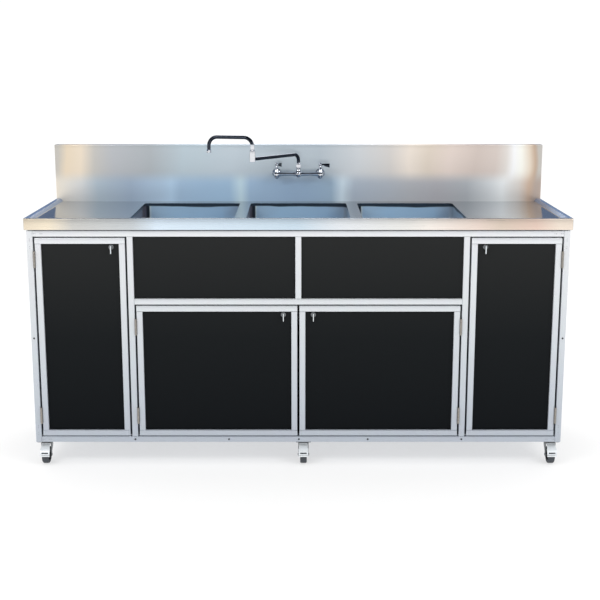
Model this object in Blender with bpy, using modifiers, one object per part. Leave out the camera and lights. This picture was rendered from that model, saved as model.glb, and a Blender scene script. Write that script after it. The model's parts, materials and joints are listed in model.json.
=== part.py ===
"""Three compartment sink: a stainless sink top on a wheeled aluminium-tube cabinet.

Metres, +Z up, +X to the user's right, -Y towards the user. The origin is on the floor,
under the middle of the sink top. Every moving piece has its origin on its joint's axis.
"""
import math

import bmesh
import bpy
from mathutils import Matrix, Vector

# ---- fits ---------------------------------------------------------------------------
TOUCH = 0.0003          # gap between pieces that touch
RUN = 0.0008            # gap between pieces that turn or slide on each other

# ---- sink top -----------------------------------------------------------------------
COUNTER_WIDTH = 2.286
COUNTER_DEPTH = 0.737
RIM_HEIGHT = 1.082
SHEET = 0.0016
RIM_RISE = 0.014        # raised edge above the deck
RIM_FLAT = 0.020
RIM_SLOPE = 0.020
APRON_HEIGHT = 0.0495
APRON_SHADOW = 0.0035   # open line between apron and frame
SPLASH_RISE = 0.252
SPLASH_RETURN = 0.051
SPLASH_FLANGE = 0.018
BEYOND = 0.1            # how far a cutter reaches past what it cuts
BEARER = 0.003          # sheet strips between deck and frame

# ---- bowls --------------------------------------------------------------------------
BOWL_WIDTH = 0.452
BOWL_DIVIDER = 0.0425
BOWL_DROP = 0.305
BOWL_FRONT_MARGIN = 0.089
BOWL_BACK_MARGIN = 0.064
BOWL_OVERHANG = 0.004   # deck edge over the bowl wall
BOWL_CORNER = 0.022
BOWL_FLANGE = 0.010
DRAIN_HOLE = 0.089
STRAINER_FLANGE = 0.114
STRAINER_DROP = 0.055
STRAINER_WALL = 0.002
STRAINER_CONE = 0.012   # height of the cup's tapered end
STRAINER_TAPER = 0.010
TAILPIECE = 0.038
TAILPIECE_LENGTH = 0.060
DRAIN_PIPE = 0.050
DRAIN_FALL = 0.060
TEE_SOCKET = 0.004      # wall of a tee's socket round the tailpiece

# ---- cabinet ------------------------------------------------------------------------
TUBE = 0.0254
FRAME_SIDE_INSET = 0.008
FRAME_FRONT_INSET = 0.010
FRAME_REAR_INSET = 0.006
CENTRE_BAY = 1.385      # clear width between the two inner posts
FASCIA_HEIGHT = 0.2645  # clear height between top rail and middle rail
PANEL = 0.0032

# ---- doors --------------------------------------------------------------------------
DOOR_SIDE_GAP = 0.0075
DOOR_TOP_GAP = 0.005
DOOR_BOTTOM_GAP = 0.003
DOOR_MEETING_GAP = 0.009
HINGE_HEIGHT = 0.071
HINGE_BARREL = 0.009
HINGE_LEAF = 0.0016
HINGE_STANDOFF = 0.0035  # hinge axis in front of the frame's face
HINGE_END_MARGIN = 0.056
LOCK_FACE = 0.022
LOCK_PROUD = 0.003
LOCK_BARREL = 0.016
LOCK_BELOW = 0.0146     # lock axis below the door's top tube
LOCK_BESIDE = 0.0336    # lock axis beside the door's free tube
CAM_LENGTH = 0.056
CAM_WIDTH = 0.014
CAM_THICKNESS = 0.0024
KEY_THICKNESS = 0.0022
KEY_REACH = 0.0165
KEY_ABOVE = 0.007
KEY_BELOW = 0.028

# ---- casters ------------------------------------------------------------------------
WHEEL_DIAMETER = 0.0762
WHEEL_WIDTH = 0.030
HUB_WIDTH = 0.036
AXLE = 0.008
CASTER_TRAIL = 0.024
CASTER_CLEAR = 0.0130    # crown above the tread
CASTER_PLATE = 0.0035
CASTER_PLATE_WIDTH = 0.066
CASTER_PLATE_LENGTH = 0.092
CASTER_SIDE_INSET = 0.035
CASTER_SETBACK = 0.0219  # tread behind the counter's front edge, before the trail
CASTER_CENTRE_OFFSET = 0.022    # the middle casters stand beside the cross rail's screw
FORK_LEG = 0.003
FORK_CLEAR = 0.0015
AXLE_BOSS = 0.011       # radius of the leg's round end
AXLE_PROUD = 0.003      # axle beyond the leg
CROWN = 0.046
CROWN_HEIGHT = 0.0125
PEDAL_WIDTH = 0.042
PEDAL_SHEET = 0.002
PEDAL_PIVOT = 0.007
PEDAL_CLEAR = 0.0045    # pedal plate above the tread when the brake is off
PEDAL_UPPER = math.radians(118)
PEDAL_LOWER = math.radians(172)

# ---- faucet -------------------------------------------------------------------------
FAUCET_FROM_SPLASH = 0.060
FAUCET_ABOVE_RIM = 0.121
VALVE_SPACING = 0.2032
VALVE_BODY = 0.026
FAUCET_BAR = 0.018
WALL_FLANGE = 0.046
WALL_FLANGE_DEPTH = 0.008
VALVE_TOP = 0.036       # stem above the bar's axis
VALVE_DROP = 0.022
VALVE_STEM = 0.009
OUTLET = 0.032
OUTLET_TOP = 0.047      # spout nut above the bar's axis
OUTLET_DROP = 0.014
SHANK = 0.021
LEVER_HUB = 0.016
LEVER_HUB_HEIGHT = 0.017
LEVER_THICKNESS = 0.006
LEVER_LENGTH = 0.043
LEVER_TOP = 0.0125
LEVER_ROOT = 0.0045     # underside of the blade at the hub
LEVER_END = -0.0065     # underside of the blade at its free end
LEVER_HOT_ANGLE = math.radians(61)
LEVER_COLD_ANGLE = math.radians(0)
SPOUT_TUBE = 0.016
SPOUT_BEND = 0.030
SPOUT_INNER_LENGTH = 0.330
SPOUT_INNER_RISE = 0.092      # arm above the valve bar
SPOUT_INNER_ANGLE = math.radians(232)
SPOUT_JOINT_BODY = 0.026
SPOUT_JOINT_HEIGHT = 0.049
SPOUT_OUTER_LENGTH = 0.200
SPOUT_OUTER_RISE = 0.095      # outer arm above the inner arm
SPOUT_OUTER_BEND = 0.038
SPOUT_OUTER_ANGLE = math.radians(167)
SPOUT_TIP_DROP = 0.070
SPOUT_NUT = 0.021
SPOUT_NUT_HEIGHT = 0.029
AERATOR_HEIGHT = 0.016

# ---- water system inside the cabinet ------------------------------------------------
TANK_WALL = 0.005
TANK_CORNER = 0.030
TANK_DEPTH = 0.480
FRESH_TANK_WIDTH = 0.430
WASTE_TANK_WIDTH = 0.500
TANK_HEADROOM = 0.050
TANK_NECK = 0.060
TANK_NECK_HEIGHT = 0.020
HEATER_WIDTH = 0.250
HEATER_DEPTH = 0.280
HEATER_HEIGHT = 0.360
HEATER_CORNER = 0.025
HEATER_WALL = 0.003
HEATER_PORT = 0.022     # height of the ports
HEATER_PORT_WIDTH = 0.022
HEATER_BORE = 0.016
PUMP_MOTOR = 0.080
PUMP_LENGTH = 0.170
PUMP_HEAD = 0.100
PUMP_HEAD_LENGTH = 0.055
PUMP_BASE = 0.006
PUMP_PORT = 0.018

# ---- levels and lines worked out from the sizes ---------------------------------------
HALF_WIDTH = COUNTER_WIDTH / 2
FRONT = -COUNTER_DEPTH / 2
REAR = COUNTER_DEPTH / 2
SPLASH_FACE = REAR - SPLASH_RETURN
SPLASH_TOP = RIM_HEIGHT + SPLASH_RISE
DECK = RIM_HEIGHT - RIM_RISE
APRON_BOTTOM = RIM_HEIGHT - APRON_HEIGHT
FRAME_TOP = APRON_BOTTOM - APRON_SHADOW
FRAME_BOTTOM = WHEEL_DIAMETER + CASTER_CLEAR + CROWN_HEIGHT + RUN + CASTER_PLATE
FRAME_HALF = HALF_WIDTH - FRAME_SIDE_INSET
FRAME_FRONT = FRONT + FRAME_FRONT_INSET
FRAME_REAR = REAR - FRAME_REAR_INSET
BAY_HALF = CENTRE_BAY / 2
FLOOR_TOP = FRAME_BOTTOM + TUBE + TOUCH + PANEL
MIDDLE_RAIL_TOP = FRAME_TOP - TUBE - FASCIA_HEIGHT
MIDDLE_RAIL_BOTTOM = MIDDLE_RAIL_TOP - TUBE
BOWL_FRONT = FRONT + BOWL_FRONT_MARGIN
BOWL_BACK = SPLASH_FACE - BOWL_BACK_MARGIN
BOWL_FLOOR = DECK - BOWL_DROP
BOWL_MIDDLE = (BOWL_FRONT + BOWL_BACK) / 2
STRAINER_BOTTOM = BOWL_FLOOR - STRAINER_DROP
TAILPIECE_BOTTOM = STRAINER_BOTTOM - TAILPIECE_LENGTH
DRAIN_LEVEL = TAILPIECE_BOTTOM - DRAIN_FALL
TANK_TOP = DRAIN_LEVEL - DRAIN_PIPE / 2 - TANK_HEADROOM
AXLE_HEIGHT = WHEEL_DIAMETER / 2
CASTER_FRONT_INSET = AXLE_HEIGHT + CASTER_SETBACK
VALVE_Y = SPLASH_FACE - FAUCET_FROM_SPLASH
BAR_LEVEL = RIM_HEIGHT + FAUCET_ABOVE_RIM
BAY_PITCH = BOWL_WIDTH + BOWL_DIVIDER

PARTS = None
CUTTERS = None


# ---- scene and materials --------------------------------------------------------------
def clear_scene():
    for old in list(bpy.data.objects):
        bpy.data.objects.remove(old, do_unlink=True)


def new_collection(name):
    collection = bpy.data.collections.new(name)
    bpy.context.scene.collection.children.link(collection)
    return collection


def material(name, colour, roughness, metallic):
    """One Principled finish, made once and shared by the pieces that have it."""
    found = bpy.data.materials.get(name)
    if found:
        return found
    finish = bpy.data.materials.new(name)
    finish.use_nodes = True
    shader = finish.node_tree.nodes["Principled BSDF"]
    shader.inputs["Base Color"].default_value = (*colour, 1.0)
    shader.inputs["Roughness"].default_value = roughness
    shader.inputs["Metallic"].default_value = metallic
    finish.diffuse_color = (*colour, 1.0)
    return finish


def stainless():
    return material("stainless_steel", (0.62, 0.64, 0.66), 0.22, 1.0)


def aluminium():
    return material("satin_aluminium", (0.80, 0.81, 0.83), 0.35, 1.0)


def black_panel():
    return material("black_panel", (0.012, 0.013, 0.014), 0.55, 0.0)


def chrome():
    return material("chrome_plate", (0.80, 0.81, 0.83), 0.06, 1.0)


def zinc():
    return material("zinc_plated_steel", (0.70, 0.72, 0.74), 0.30, 1.0)


def tread_rubber():
    return material("grey_tread", (0.035, 0.036, 0.040), 0.70, 0.0)


def white_pipe():
    return material("white_pvc", (0.80, 0.80, 0.78), 0.45, 0.0)


def tank_plastic():
    return material("tank_polyethylene", (0.62, 0.66, 0.68), 0.50, 0.0)


def enamel():
    return material("white_enamel", (0.82, 0.82, 0.80), 0.30, 0.0)


def motor_paint():
    return material("motor_paint", (0.03, 0.03, 0.035), 0.40, 0.0)


# ---- solids ---------------------------------------------------------------------------
def mesh_object(name, bm):
    bmesh.ops.recalc_face_normals(bm, faces=bm.faces)
    mesh = bpy.data.meshes.new(name)
    bm.to_mesh(mesh)
    bm.free()
    return bpy.data.objects.new(name, mesh)


def stretch(bm, low, high):
    """Puts a unit cube's corners exactly at low and high, so that flush faces share one plane."""
    for vertex in bm.verts:
        vertex.co = [high[i] if vertex.co[i] > 0 else low[i] for i in range(3)]


def box(name, low, high):
    """A cuboid between two corners."""
    bm = bmesh.new()
    bmesh.ops.create_cube(bm, size=1.0)
    stretch(bm, low, high)
    return mesh_object(name, bm)


def flush(piece, axis, low, high):
    """Puts a flat plate's two faces exactly at low and high along one axis."""
    middle = (low + high) / 2
    for vertex in piece.data.vertices:
        vertex.co[axis] = low if vertex.co[axis] < middle else high
    return piece


def flared_box(name, low, high, flare_low, flare_high):
    """A cuboid whose top face runs between flare_low and flare_high in X and Y."""
    piece = box(name, low, high)
    top = max(vertex.co.z for vertex in piece.data.vertices)
    for vertex in piece.data.vertices:
        if vertex.co.z > top - 1e-6:
            left, front = vertex.co.x < (low[0] + high[0]) / 2, vertex.co.y < (low[1] + high[1]) / 2
            vertex.co.x = flare_low[0] if left else flare_high[0]
            vertex.co.y = flare_low[1] if front else flare_high[1]
    return piece


def pan(name, low, high, radius, segments=3, round_top=False):
    """A cuboid with rounded upright corners and a rounded bottom edge."""
    bm = bmesh.new()
    bmesh.ops.create_cube(bm, size=1.0)
    stretch(bm, low, high)
    middle = (low[2] + high[2]) / 2
    edges = [edge for edge in bm.edges
             if round_top or min(vertex.co.z for vertex in edge.verts) < middle]
    bmesh.ops.bevel(bm, geom=edges, offset=radius, segments=segments, profile=0.5,
                    affect="EDGES", clamp_overlap=True)
    return mesh_object(name, bm)


def rod(name, start, end, radius, sides=20, end_radius=None):
    """A round bar or cone between two points."""
    start, end = Vector(start), Vector(end)
    bm = bmesh.new()
    bmesh.ops.create_cone(bm, cap_ends=True, segments=sides, radius1=radius,
                          radius2=radius if end_radius is None else end_radius,
                          depth=(end - start).length)
    turn = Vector((0, 0, 1)).rotation_difference(end - start).to_matrix().to_4x4()
    bmesh.ops.transform(bm, matrix=Matrix.Translation((start + end) / 2) @ turn, verts=bm.verts)
    return mesh_object(name, bm)


def baked(source, matrix=None):
    """The evaluated shape of a curve or modified object as a plain welded mesh."""
    bpy.context.scene.collection.objects.link(source)
    bpy.context.view_layer.update()
    evaluated = source.evaluated_get(bpy.context.evaluated_depsgraph_get())
    mesh = bpy.data.meshes.new_from_object(evaluated)
    bm = bmesh.new()
    bm.from_mesh(mesh)
    bpy.data.meshes.remove(mesh)
    bmesh.ops.remove_doubles(bm, verts=bm.verts, dist=1e-5)
    if matrix is not None:
        bmesh.ops.transform(bm, matrix=matrix, verts=bm.verts)
    name = source.name
    bpy.data.objects.remove(source)
    return mesh_object(name, bm)


def turned(name, profile, centre, direction=(0, 0, 1), sides=24, ring=False):
    """A turned piece: profile is (radius, height) down its outer side, about direction."""
    mesh = bpy.data.meshes.new(name)
    count = len(profile)
    edges = [(i, i + 1) for i in range(count - 1)]
    if ring:
        edges.append((count - 1, 0))
    mesh.from_pydata([(radius, 0.0, height) for radius, height in profile], edges, [])
    piece = bpy.data.objects.new(name, mesh)
    screw = piece.modifiers.new("turn", "SCREW")
    screw.steps = screw.render_steps = sides
    screw.use_merge_vertices = True
    screw.merge_threshold = 1e-5
    turn = Vector((0, 0, 1)).rotation_difference(Vector(direction)).to_matrix().to_4x4()
    return baked(piece, Matrix.Translation(centre) @ turn)


def tube(name, points, radius, resolution=3):
    """A round tube's outer shape along a route of points, with filled ends."""
    curve = bpy.data.curves.new(name, "CURVE")
    curve.dimensions = "3D"
    curve.bevel_depth = radius
    curve.bevel_resolution = resolution
    curve.use_fill_caps = True
    spline = curve.splines.new("POLY")
    spline.points.add(len(points) - 1)
    for slot, point in zip(spline.points, points):
        slot.co = (*point, 1.0)
    return baked(bpy.data.objects.new(name, curve))


def plate(name, outline, thickness, matrix):
    """A flat plate: an outline in its own XY plane, thickness shared about it."""
    curve = bpy.data.curves.new(name, "CURVE")
    curve.dimensions = "2D"
    curve.fill_mode = "BOTH"
    curve.extrude = thickness / 2
    spline = curve.splines.new("POLY")
    spline.points.add(len(outline) - 1)
    for slot, point in zip(spline.points, outline):
        slot.co = (point[0], point[1], 0.0, 1.0)
    spline.use_cyclic_u = True
    return baked(bpy.data.objects.new(name, curve), matrix)


def upright_frame(name, outer, openings, near, far):
    """Tubes joined flush in one upright plane: an outer rectangle with its openings (X, Z)."""
    left, low, right, high = outer
    frame = box(name, (left, near, low), (right, far, high))
    cut(frame, *(box(f"{name}_opening_{index}", (left, near - TUBE, low), (right, far + TUBE, high))
                 for index, (left, low, right, high) in enumerate(openings)))
    return frame


def arc(centre, radius, start, end, steps):
    """Points round a centre from one angle to another, in a plane."""
    angles = (start + (end - start) * i / steps for i in range(steps + 1))
    return [(centre[0] + radius * math.cos(a), centre[1] + radius * math.sin(a)) for a in angles]


def boolean(piece, tools, operation):
    for tool in tools:
        CUTTERS.objects.link(tool)
        tool.hide_render = True
        tool.display_type = "WIRE"
        modifier = piece.modifiers.new(tool.name, "BOOLEAN")
        modifier.operation = operation
        modifier.object = tool


def join(piece, *tools):
    boolean(piece, tools, "UNION")


def cut(piece, *tools):
    boolean(piece, tools, "DIFFERENCE")


def add(piece, finish, origin=(0, 0, 0), smooth=False):
    """Puts a finished piece among the parts, with its origin on its axis."""
    PARTS.objects.link(piece)
    piece.data.materials.append(finish)
    if piece.modifiers:
        tidy = piece.modifiers.new("one_face_per_plane", "DECIMATE")
        tidy.decimate_type = "DISSOLVE"
        tidy.angle_limit = math.radians(0.05)
    piece.data.transform(Matrix.Translation(-Vector(origin)))
    piece.location = origin
    if smooth:
        piece.data.shade_smooth()
        piece.data.set_sharp_from_angle(angle=math.radians(40))
    return piece


# ---- sink top and bowls ---------------------------------------------------------------
def bowl_centre_x(index):
    return (index - 1) * BAY_PITCH


def sink_top():
    top = box("sink_top", (-HALF_WIDTH, FRONT, APRON_BOTTOM), (HALF_WIDTH, SPLASH_FACE + SHEET, RIM_HEIGHT))
    inset = RIM_FLAT + RIM_SLOPE
    flare = RIM_SLOPE * 1.5
    cut(top, flared_box(
        "deck_pan", (-HALF_WIDTH + inset, FRONT + inset, DECK),
        (HALF_WIDTH - inset, SPLASH_FACE, DECK + RIM_RISE * 1.5),
        (-HALF_WIDTH + inset - flare, FRONT + inset - flare), (HALF_WIDTH - inset + flare, SPLASH_FACE)))
    cut(top, box("under_deck", (-HALF_WIDTH + SHEET, FRONT + SHEET, APRON_BOTTOM - SHEET),
                 (HALF_WIDTH - SHEET, SPLASH_FACE, DECK - SHEET)))
    hollow = RIM_FLAT - SHEET
    level = DECK - 2 * SHEET, RIM_HEIGHT - SHEET
    cut(top,
        box("under_rim_front", (-HALF_WIDTH + SHEET, FRONT + SHEET, level[0]),
            (HALF_WIDTH - SHEET, FRONT + hollow, level[1])),
        box("under_rim_left", (-HALF_WIDTH + SHEET, FRONT + SHEET, level[0]),
            (-HALF_WIDTH + hollow, SPLASH_FACE - SHEET, level[1])),
        box("under_rim_right", (HALF_WIDTH - hollow, FRONT + SHEET, level[0]),
            (HALF_WIDTH - SHEET, SPLASH_FACE - SHEET, level[1])))
    sheets = (("splash_sheet", SPLASH_FACE, SPLASH_FACE + SHEET, DECK - SHEET),
              ("splash_top", SPLASH_FACE, REAR, SPLASH_TOP - SHEET),
              ("splash_flange", REAR - SHEET, REAR, SPLASH_TOP - SPLASH_FLANGE))
    for name, near, far, low in sheets:
        join(top, box(name, (-HALF_WIDTH, near, low), (HALF_WIDTH, far, SPLASH_TOP)))
    for side in (-1, 1):
        edge = sorted((side * HALF_WIDTH, side * (HALF_WIDTH - SHEET)))
        join(top, box(f"splash_end_{side}", (edge[0], SPLASH_FACE, APRON_BOTTOM),
                      (edge[1], REAR, SPLASH_TOP)))
    bearers(top)
    lip = BOWL_OVERHANG
    for index in range(3):
        middle = bowl_centre_x(index)
        cut(top, pan(f"bowl_mouth_{index}",
                     (middle - BOWL_WIDTH / 2 + lip, BOWL_FRONT + lip, DECK - BEYOND),
                     (middle + BOWL_WIDTH / 2 - lip, BOWL_BACK - lip, DECK + BEYOND), BOWL_CORNER))
    add(top, stainless())


def bearers(top):
    """Sheet strips under the deck that carry it on the frame, set back in the apron's shadow."""
    foot, head = FRAME_TOP + TOUCH, DECK - SHEET / 2
    front = FRAME_FRONT + TUBE / 2
    side = FRAME_HALF - TUBE / 2
    thick = BEARER
    join(top, box("front_bearer", (-side, front - thick / 2, foot), (side, front + thick / 2, head)),
         box("rear_bearer", (-side, SPLASH_FACE - thick, foot), (side, SPLASH_FACE + SHEET / 2, head)),
         box("rear_foot", (-side, SPLASH_FACE - thick / 2, foot), (side, FRAME_REAR, foot + SHEET)))
    for end in (-side, side):
        join(top, box(f"side_bearer_{end:.1f}", (end - thick / 2, front, foot),
                      (end + thick / 2, SPLASH_FACE - thick / 2, head)))


def bowl(name, index):
    """A deep-drawn bowl hung under the deck by a narrow flange."""
    middle = bowl_centre_x(index)
    left, right = middle - BOWL_WIDTH / 2, middle + BOWL_WIDTH / 2
    top = DECK - SHEET - TOUCH
    shell = pan(name, (left - SHEET, BOWL_FRONT - SHEET, BOWL_FLOOR - SHEET),
                (right + SHEET, BOWL_BACK + SHEET, top), BOWL_CORNER + SHEET)
    join(shell, box(f"{name}_flange", (left - BOWL_FLANGE, BOWL_FRONT - BOWL_FLANGE, top - SHEET),
                    (right + BOWL_FLANGE, BOWL_BACK + BOWL_FLANGE, top)))
    cut(shell, pan(f"{name}_inside", (left, BOWL_FRONT, BOWL_FLOOR), (right, BOWL_BACK, top + BEYOND),
                   BOWL_CORNER))
    cut(shell, rod(f"{name}_drain", (middle, BOWL_MIDDLE, BOWL_FLOOR - BEYOND),
                   (middle, BOWL_MIDDLE, BOWL_FLOOR + BEYOND), DRAIN_HOLE / 2, 28))
    add(shell, stainless())


def strainer(name, index):
    """A basket strainer: flange on the bowl floor, cup through the hole, tailpiece below."""
    flange = BOWL_FLOOR + TOUCH
    cup = DRAIN_HOLE / 2 - TOUCH
    throat = cup - STRAINER_TAPER
    wall = STRAINER_WALL
    pipe = TAILPIECE / 2
    profile = [
        (cup - wall, flange + wall), (STRAINER_FLANGE / 2, flange + wall / 2), (STRAINER_FLANGE / 2, flange),
        (cup, flange), (cup, STRAINER_BOTTOM + STRAINER_CONE), (throat, STRAINER_BOTTOM),
        (pipe, STRAINER_BOTTOM), (pipe, TAILPIECE_BOTTOM), (pipe - wall, TAILPIECE_BOTTOM),
        (pipe - wall, STRAINER_BOTTOM + wall), (throat - wall, STRAINER_BOTTOM + wall),
        (cup - wall, STRAINER_BOTTOM + STRAINER_CONE + wall)]
    piece = turned(name, profile, (bowl_centre_x(index), BOWL_MIDDLE, 0), ring=True, sides=20)
    add(piece, stainless(), smooth=True)


def drain_manifold():
    """The waste pipe that gathers the three tailpieces and drops into the waste tank."""
    reach = bowl_centre_x(2)
    radius = DRAIN_PIPE / 2
    pipe = rod("drain_manifold", (-reach - radius, BOWL_MIDDLE, DRAIN_LEVEL),
               (reach + radius, BOWL_MIDDLE, DRAIN_LEVEL), radius, 18)
    for index in range(3):
        x = bowl_centre_x(index)
        join(pipe, rod(f"tee_{index}", (x, BOWL_MIDDLE, DRAIN_LEVEL),
                       (x, BOWL_MIDDLE, TAILPIECE_BOTTOM - TOUCH), TAILPIECE / 2 + TEE_SOCKET, 16))
    x = waste_tank_x()
    join(pipe, rod("waste_drop", (x, BOWL_MIDDLE, DRAIN_LEVEL),
                   (x, BOWL_MIDDLE, TANK_TOP + TANK_NECK_HEIGHT + TOUCH), radius * 0.9, 16))
    add(pipe, white_pipe(), smooth=True)


# ---- faucet ---------------------------------------------------------------------------
def valve_profile():
    """The valve body: a stem, a conical bonnet and a rounded end below the bar."""
    body, stem = VALVE_BODY / 2, VALVE_STEM / 2
    levels = ((0.0, VALVE_TOP), (stem, VALVE_TOP), (stem * 1.2, VALVE_TOP * 0.78),
              (body * 0.75, VALVE_TOP * 0.39), (body, VALVE_TOP * 0.25), (body, -VALVE_DROP * 0.64),
              (body * 0.7, -VALVE_DROP), (0.0, -VALVE_DROP))
    return [(radius, BAR_LEVEL + height) for radius, height in levels]


def spout_base_profile():
    """The centre outlet with its spout nut."""
    body, nut = OUTLET / 2, SPOUT_NUT * 0.55
    levels = ((0.0, OUTLET_TOP), (nut, OUTLET_TOP), (nut, OUTLET_TOP * 0.62), (nut * 0.82, OUTLET_TOP * 0.6),
              (nut * 0.9, OUTLET_TOP * 0.43), (body, OUTLET_TOP * 0.13), (body, -OUTLET_DROP * 0.43),
              (body * 0.62, -OUTLET_DROP), (0.0, -OUTLET_DROP))
    return [(radius, BAR_LEVEL + height) for radius, height in levels]


def faucet_body():
    half = VALVE_SPACING / 2
    bar = rod("faucet_body", (-half, VALVE_Y, BAR_LEVEL), (half, VALVE_Y, BAR_LEVEL), FAUCET_BAR / 2, 16)
    face = SPLASH_FACE - TOUCH
    rim = face - WALL_FLANGE_DEPTH
    for side in (-1, 1):
        x = side * half
        join(bar,
             turned(f"valve_{side}", valve_profile(), (x, VALVE_Y, 0), sides=18),
             rod(f"shank_{side}", (x, VALVE_Y, BAR_LEVEL), (x, (rim + face) / 2, BAR_LEVEL), SHANK / 2, 16),
             rod(f"flange_{side}", (x, rim, BAR_LEVEL), (x, face, BAR_LEVEL), WALL_FLANGE / 3, 22,
                 WALL_FLANGE / 2))
    join(bar, turned("spout_base", spout_base_profile(), (0, VALVE_Y, 0), sides=18))
    add(bar, chrome(), smooth=True)


def lever(name, side, angle):
    """A blade lever on a round hub, deeper at its free end."""
    base = BAR_LEVEL + VALVE_TOP + TOUCH
    radius, height = LEVER_HUB / 2, LEVER_HUB_HEIGHT
    hub = [(0.0, base + height), (radius * 0.62, base + height * 0.94), (radius, base + height * 0.65),
           (radius, base + height * 0.3), (radius * 0.75, base), (0.0, base)]
    axis = (side * VALVE_SPACING / 2, VALVE_Y, base)
    piece = turned(name, hub, (axis[0], axis[1], 0), sides=16)
    root = radius / 4
    outline = [(root, LEVER_ROOT), (radius * 1.5, LEVER_ROOT), (LEVER_LENGTH, LEVER_END),
               (LEVER_LENGTH, LEVER_TOP), (root, LEVER_TOP)]
    turn = Matrix.Rotation(angle, 4, "Z") @ Matrix.Rotation(math.pi / 2, 4, "X")
    join(piece, plate(f"{name}_blade", outline, LEVER_THICKNESS, Matrix.Translation(axis) @ turn))
    add(piece, chrome(), origin=axis, smooth=True)


def spout_joint():
    """The swivel between the inner and the outer arm, on the inner arm's centre line."""
    reach = Vector((math.cos(SPOUT_INNER_ANGLE), math.sin(SPOUT_INNER_ANGLE), 0)) * SPOUT_INNER_LENGTH
    return Vector((0, VALVE_Y, BAR_LEVEL + SPOUT_INNER_RISE)) + reach


def upright_route(foot, angle, level, bend, length):
    """Points up from foot, round a bend at level and out along angle."""
    out = Vector((math.cos(angle), math.sin(angle), 0))
    points = [Vector(foot)]
    for along, height in arc((bend, level - bend), bend, math.pi, math.pi / 2, 6):
        points.append(Vector((foot[0], foot[1], height)) + out * along)
    points.append(Vector((foot[0], foot[1], level)) + out * length)
    return points


def spout_inner_arm():
    foot = (0, VALVE_Y, BAR_LEVEL + OUTLET_TOP + TOUCH)
    level = BAR_LEVEL + SPOUT_INNER_RISE
    route = upright_route(foot, SPOUT_INNER_ANGLE, level, SPOUT_BEND, SPOUT_INNER_LENGTH)
    arm = tube("spout_inner_arm", route, SPOUT_TUBE / 2)
    joint = spout_joint()
    low = level - SPOUT_JOINT_BODY / 2
    join(arm, rod("spout_joint_body", (joint.x, joint.y, low), (joint.x, joint.y, low + SPOUT_JOINT_HEIGHT),
                  SPOUT_JOINT_BODY / 2, 20))
    add(arm, chrome(), origin=foot, smooth=True)


def spout_outer_arm():
    joint = spout_joint()
    sleeve_top = joint.z - SPOUT_JOINT_BODY / 2 + SPOUT_JOINT_HEIGHT
    foot = (joint.x, joint.y, sleeve_top + TOUCH)
    level = joint.z + SPOUT_OUTER_RISE
    bend = SPOUT_OUTER_BEND
    route = upright_route(foot, SPOUT_OUTER_ANGLE, level, bend, SPOUT_OUTER_LENGTH - bend)
    out = Vector((math.cos(SPOUT_OUTER_ANGLE), math.sin(SPOUT_OUTER_ANGLE), 0))
    start = Vector((foot[0], foot[1], 0))
    for along, height in arc((SPOUT_OUTER_LENGTH - bend, level - bend), bend, math.pi / 2, 0, 6)[1:]:
        route.append(start + out * along + Vector((0, 0, height)))
    tip = start + out * SPOUT_OUTER_LENGTH + Vector((0, 0, level - SPOUT_TIP_DROP))
    route.append(tip)
    arm = tube("spout_outer_arm", route, SPOUT_TUBE / 2)
    join(arm, rod("spout_nut", foot, (foot[0], foot[1], foot[2] + SPOUT_NUT_HEIGHT), SPOUT_NUT / 2, 6),
         rod("aerator", tip, tip + Vector((0, 0, AERATOR_HEIGHT)), SPOUT_NUT / 2, 16))
    add(arm, chrome(), origin=foot, smooth=True)


# ---- frame ----------------------------------------------------------------------------
def caster_places():
    """(name, x, y, braked) of each caster's swivel axis."""
    side = FRAME_HALF - CASTER_SIDE_INSET
    front = FRAME_FRONT + CASTER_FRONT_INSET
    rear = FRAME_REAR - CASTER_FRONT_INSET
    return [(f"{end}_{place}", x, y, end == "front")
            for end, y in (("front", front), ("rear", rear))
            for place, x in (("left", -side), ("centre", CASTER_CENTRE_OFFSET), ("right", side))]


def caster_plate(name, x, y):
    return box(name, (x - CASTER_PLATE_WIDTH / 2, y - CASTER_PLATE_LENGTH / 2, FRAME_BOTTOM - CASTER_PLATE),
               (x + CASTER_PLATE_WIDTH / 2, y + CASTER_PLATE_LENGTH / 2, FRAME_BOTTOM + CASTER_PLATE / 4))


def front_frame():
    """Outer and inner posts, top, middle and bottom rails, and the short centre post."""
    near, far = FRAME_FRONT, FRAME_FRONT + TUBE
    inner, edge = BAY_HALF + TUBE, FRAME_HALF - TUBE
    low, high = FRAME_BOTTOM + TUBE, FRAME_TOP - TUBE
    openings = [(-edge, low, -inner, high), (inner, low, edge, high),
                (-BAY_HALF, low, BAY_HALF, MIDDLE_RAIL_BOTTOM),
                (-BAY_HALF, MIDDLE_RAIL_TOP, -TUBE / 2, high), (TUBE / 2, MIDDLE_RAIL_TOP, BAY_HALF, high)]
    outer = (-FRAME_HALF, FRAME_BOTTOM, FRAME_HALF, FRAME_TOP)
    frame = upright_frame("front_frame", outer, openings, near, far)
    for name, x, y, braked in caster_places():
        if braked:
            join(frame, caster_plate(f"plate_{name}", x, y))
    add(frame, aluminium())


def comb(name, teeth, low, high):
    """A rear rail with rails running forward from it, flush, as one flat piece."""
    front, near, far = FRAME_FRONT + TUBE + TOUCH, FRAME_REAR - TUBE, FRAME_REAR
    half = TUBE / 2
    rails = box(name, (teeth[0] - half, front, low), (teeth[-1] + half, far, high))
    cut(rails, *(box(f"{name}_gap_{index}", (left + half, front - TUBE, low - TUBE),
                     (right - half, near, high + TUBE))
                 for index, (left, right) in enumerate(zip(teeth, teeth[1:]))))
    return rails


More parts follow.
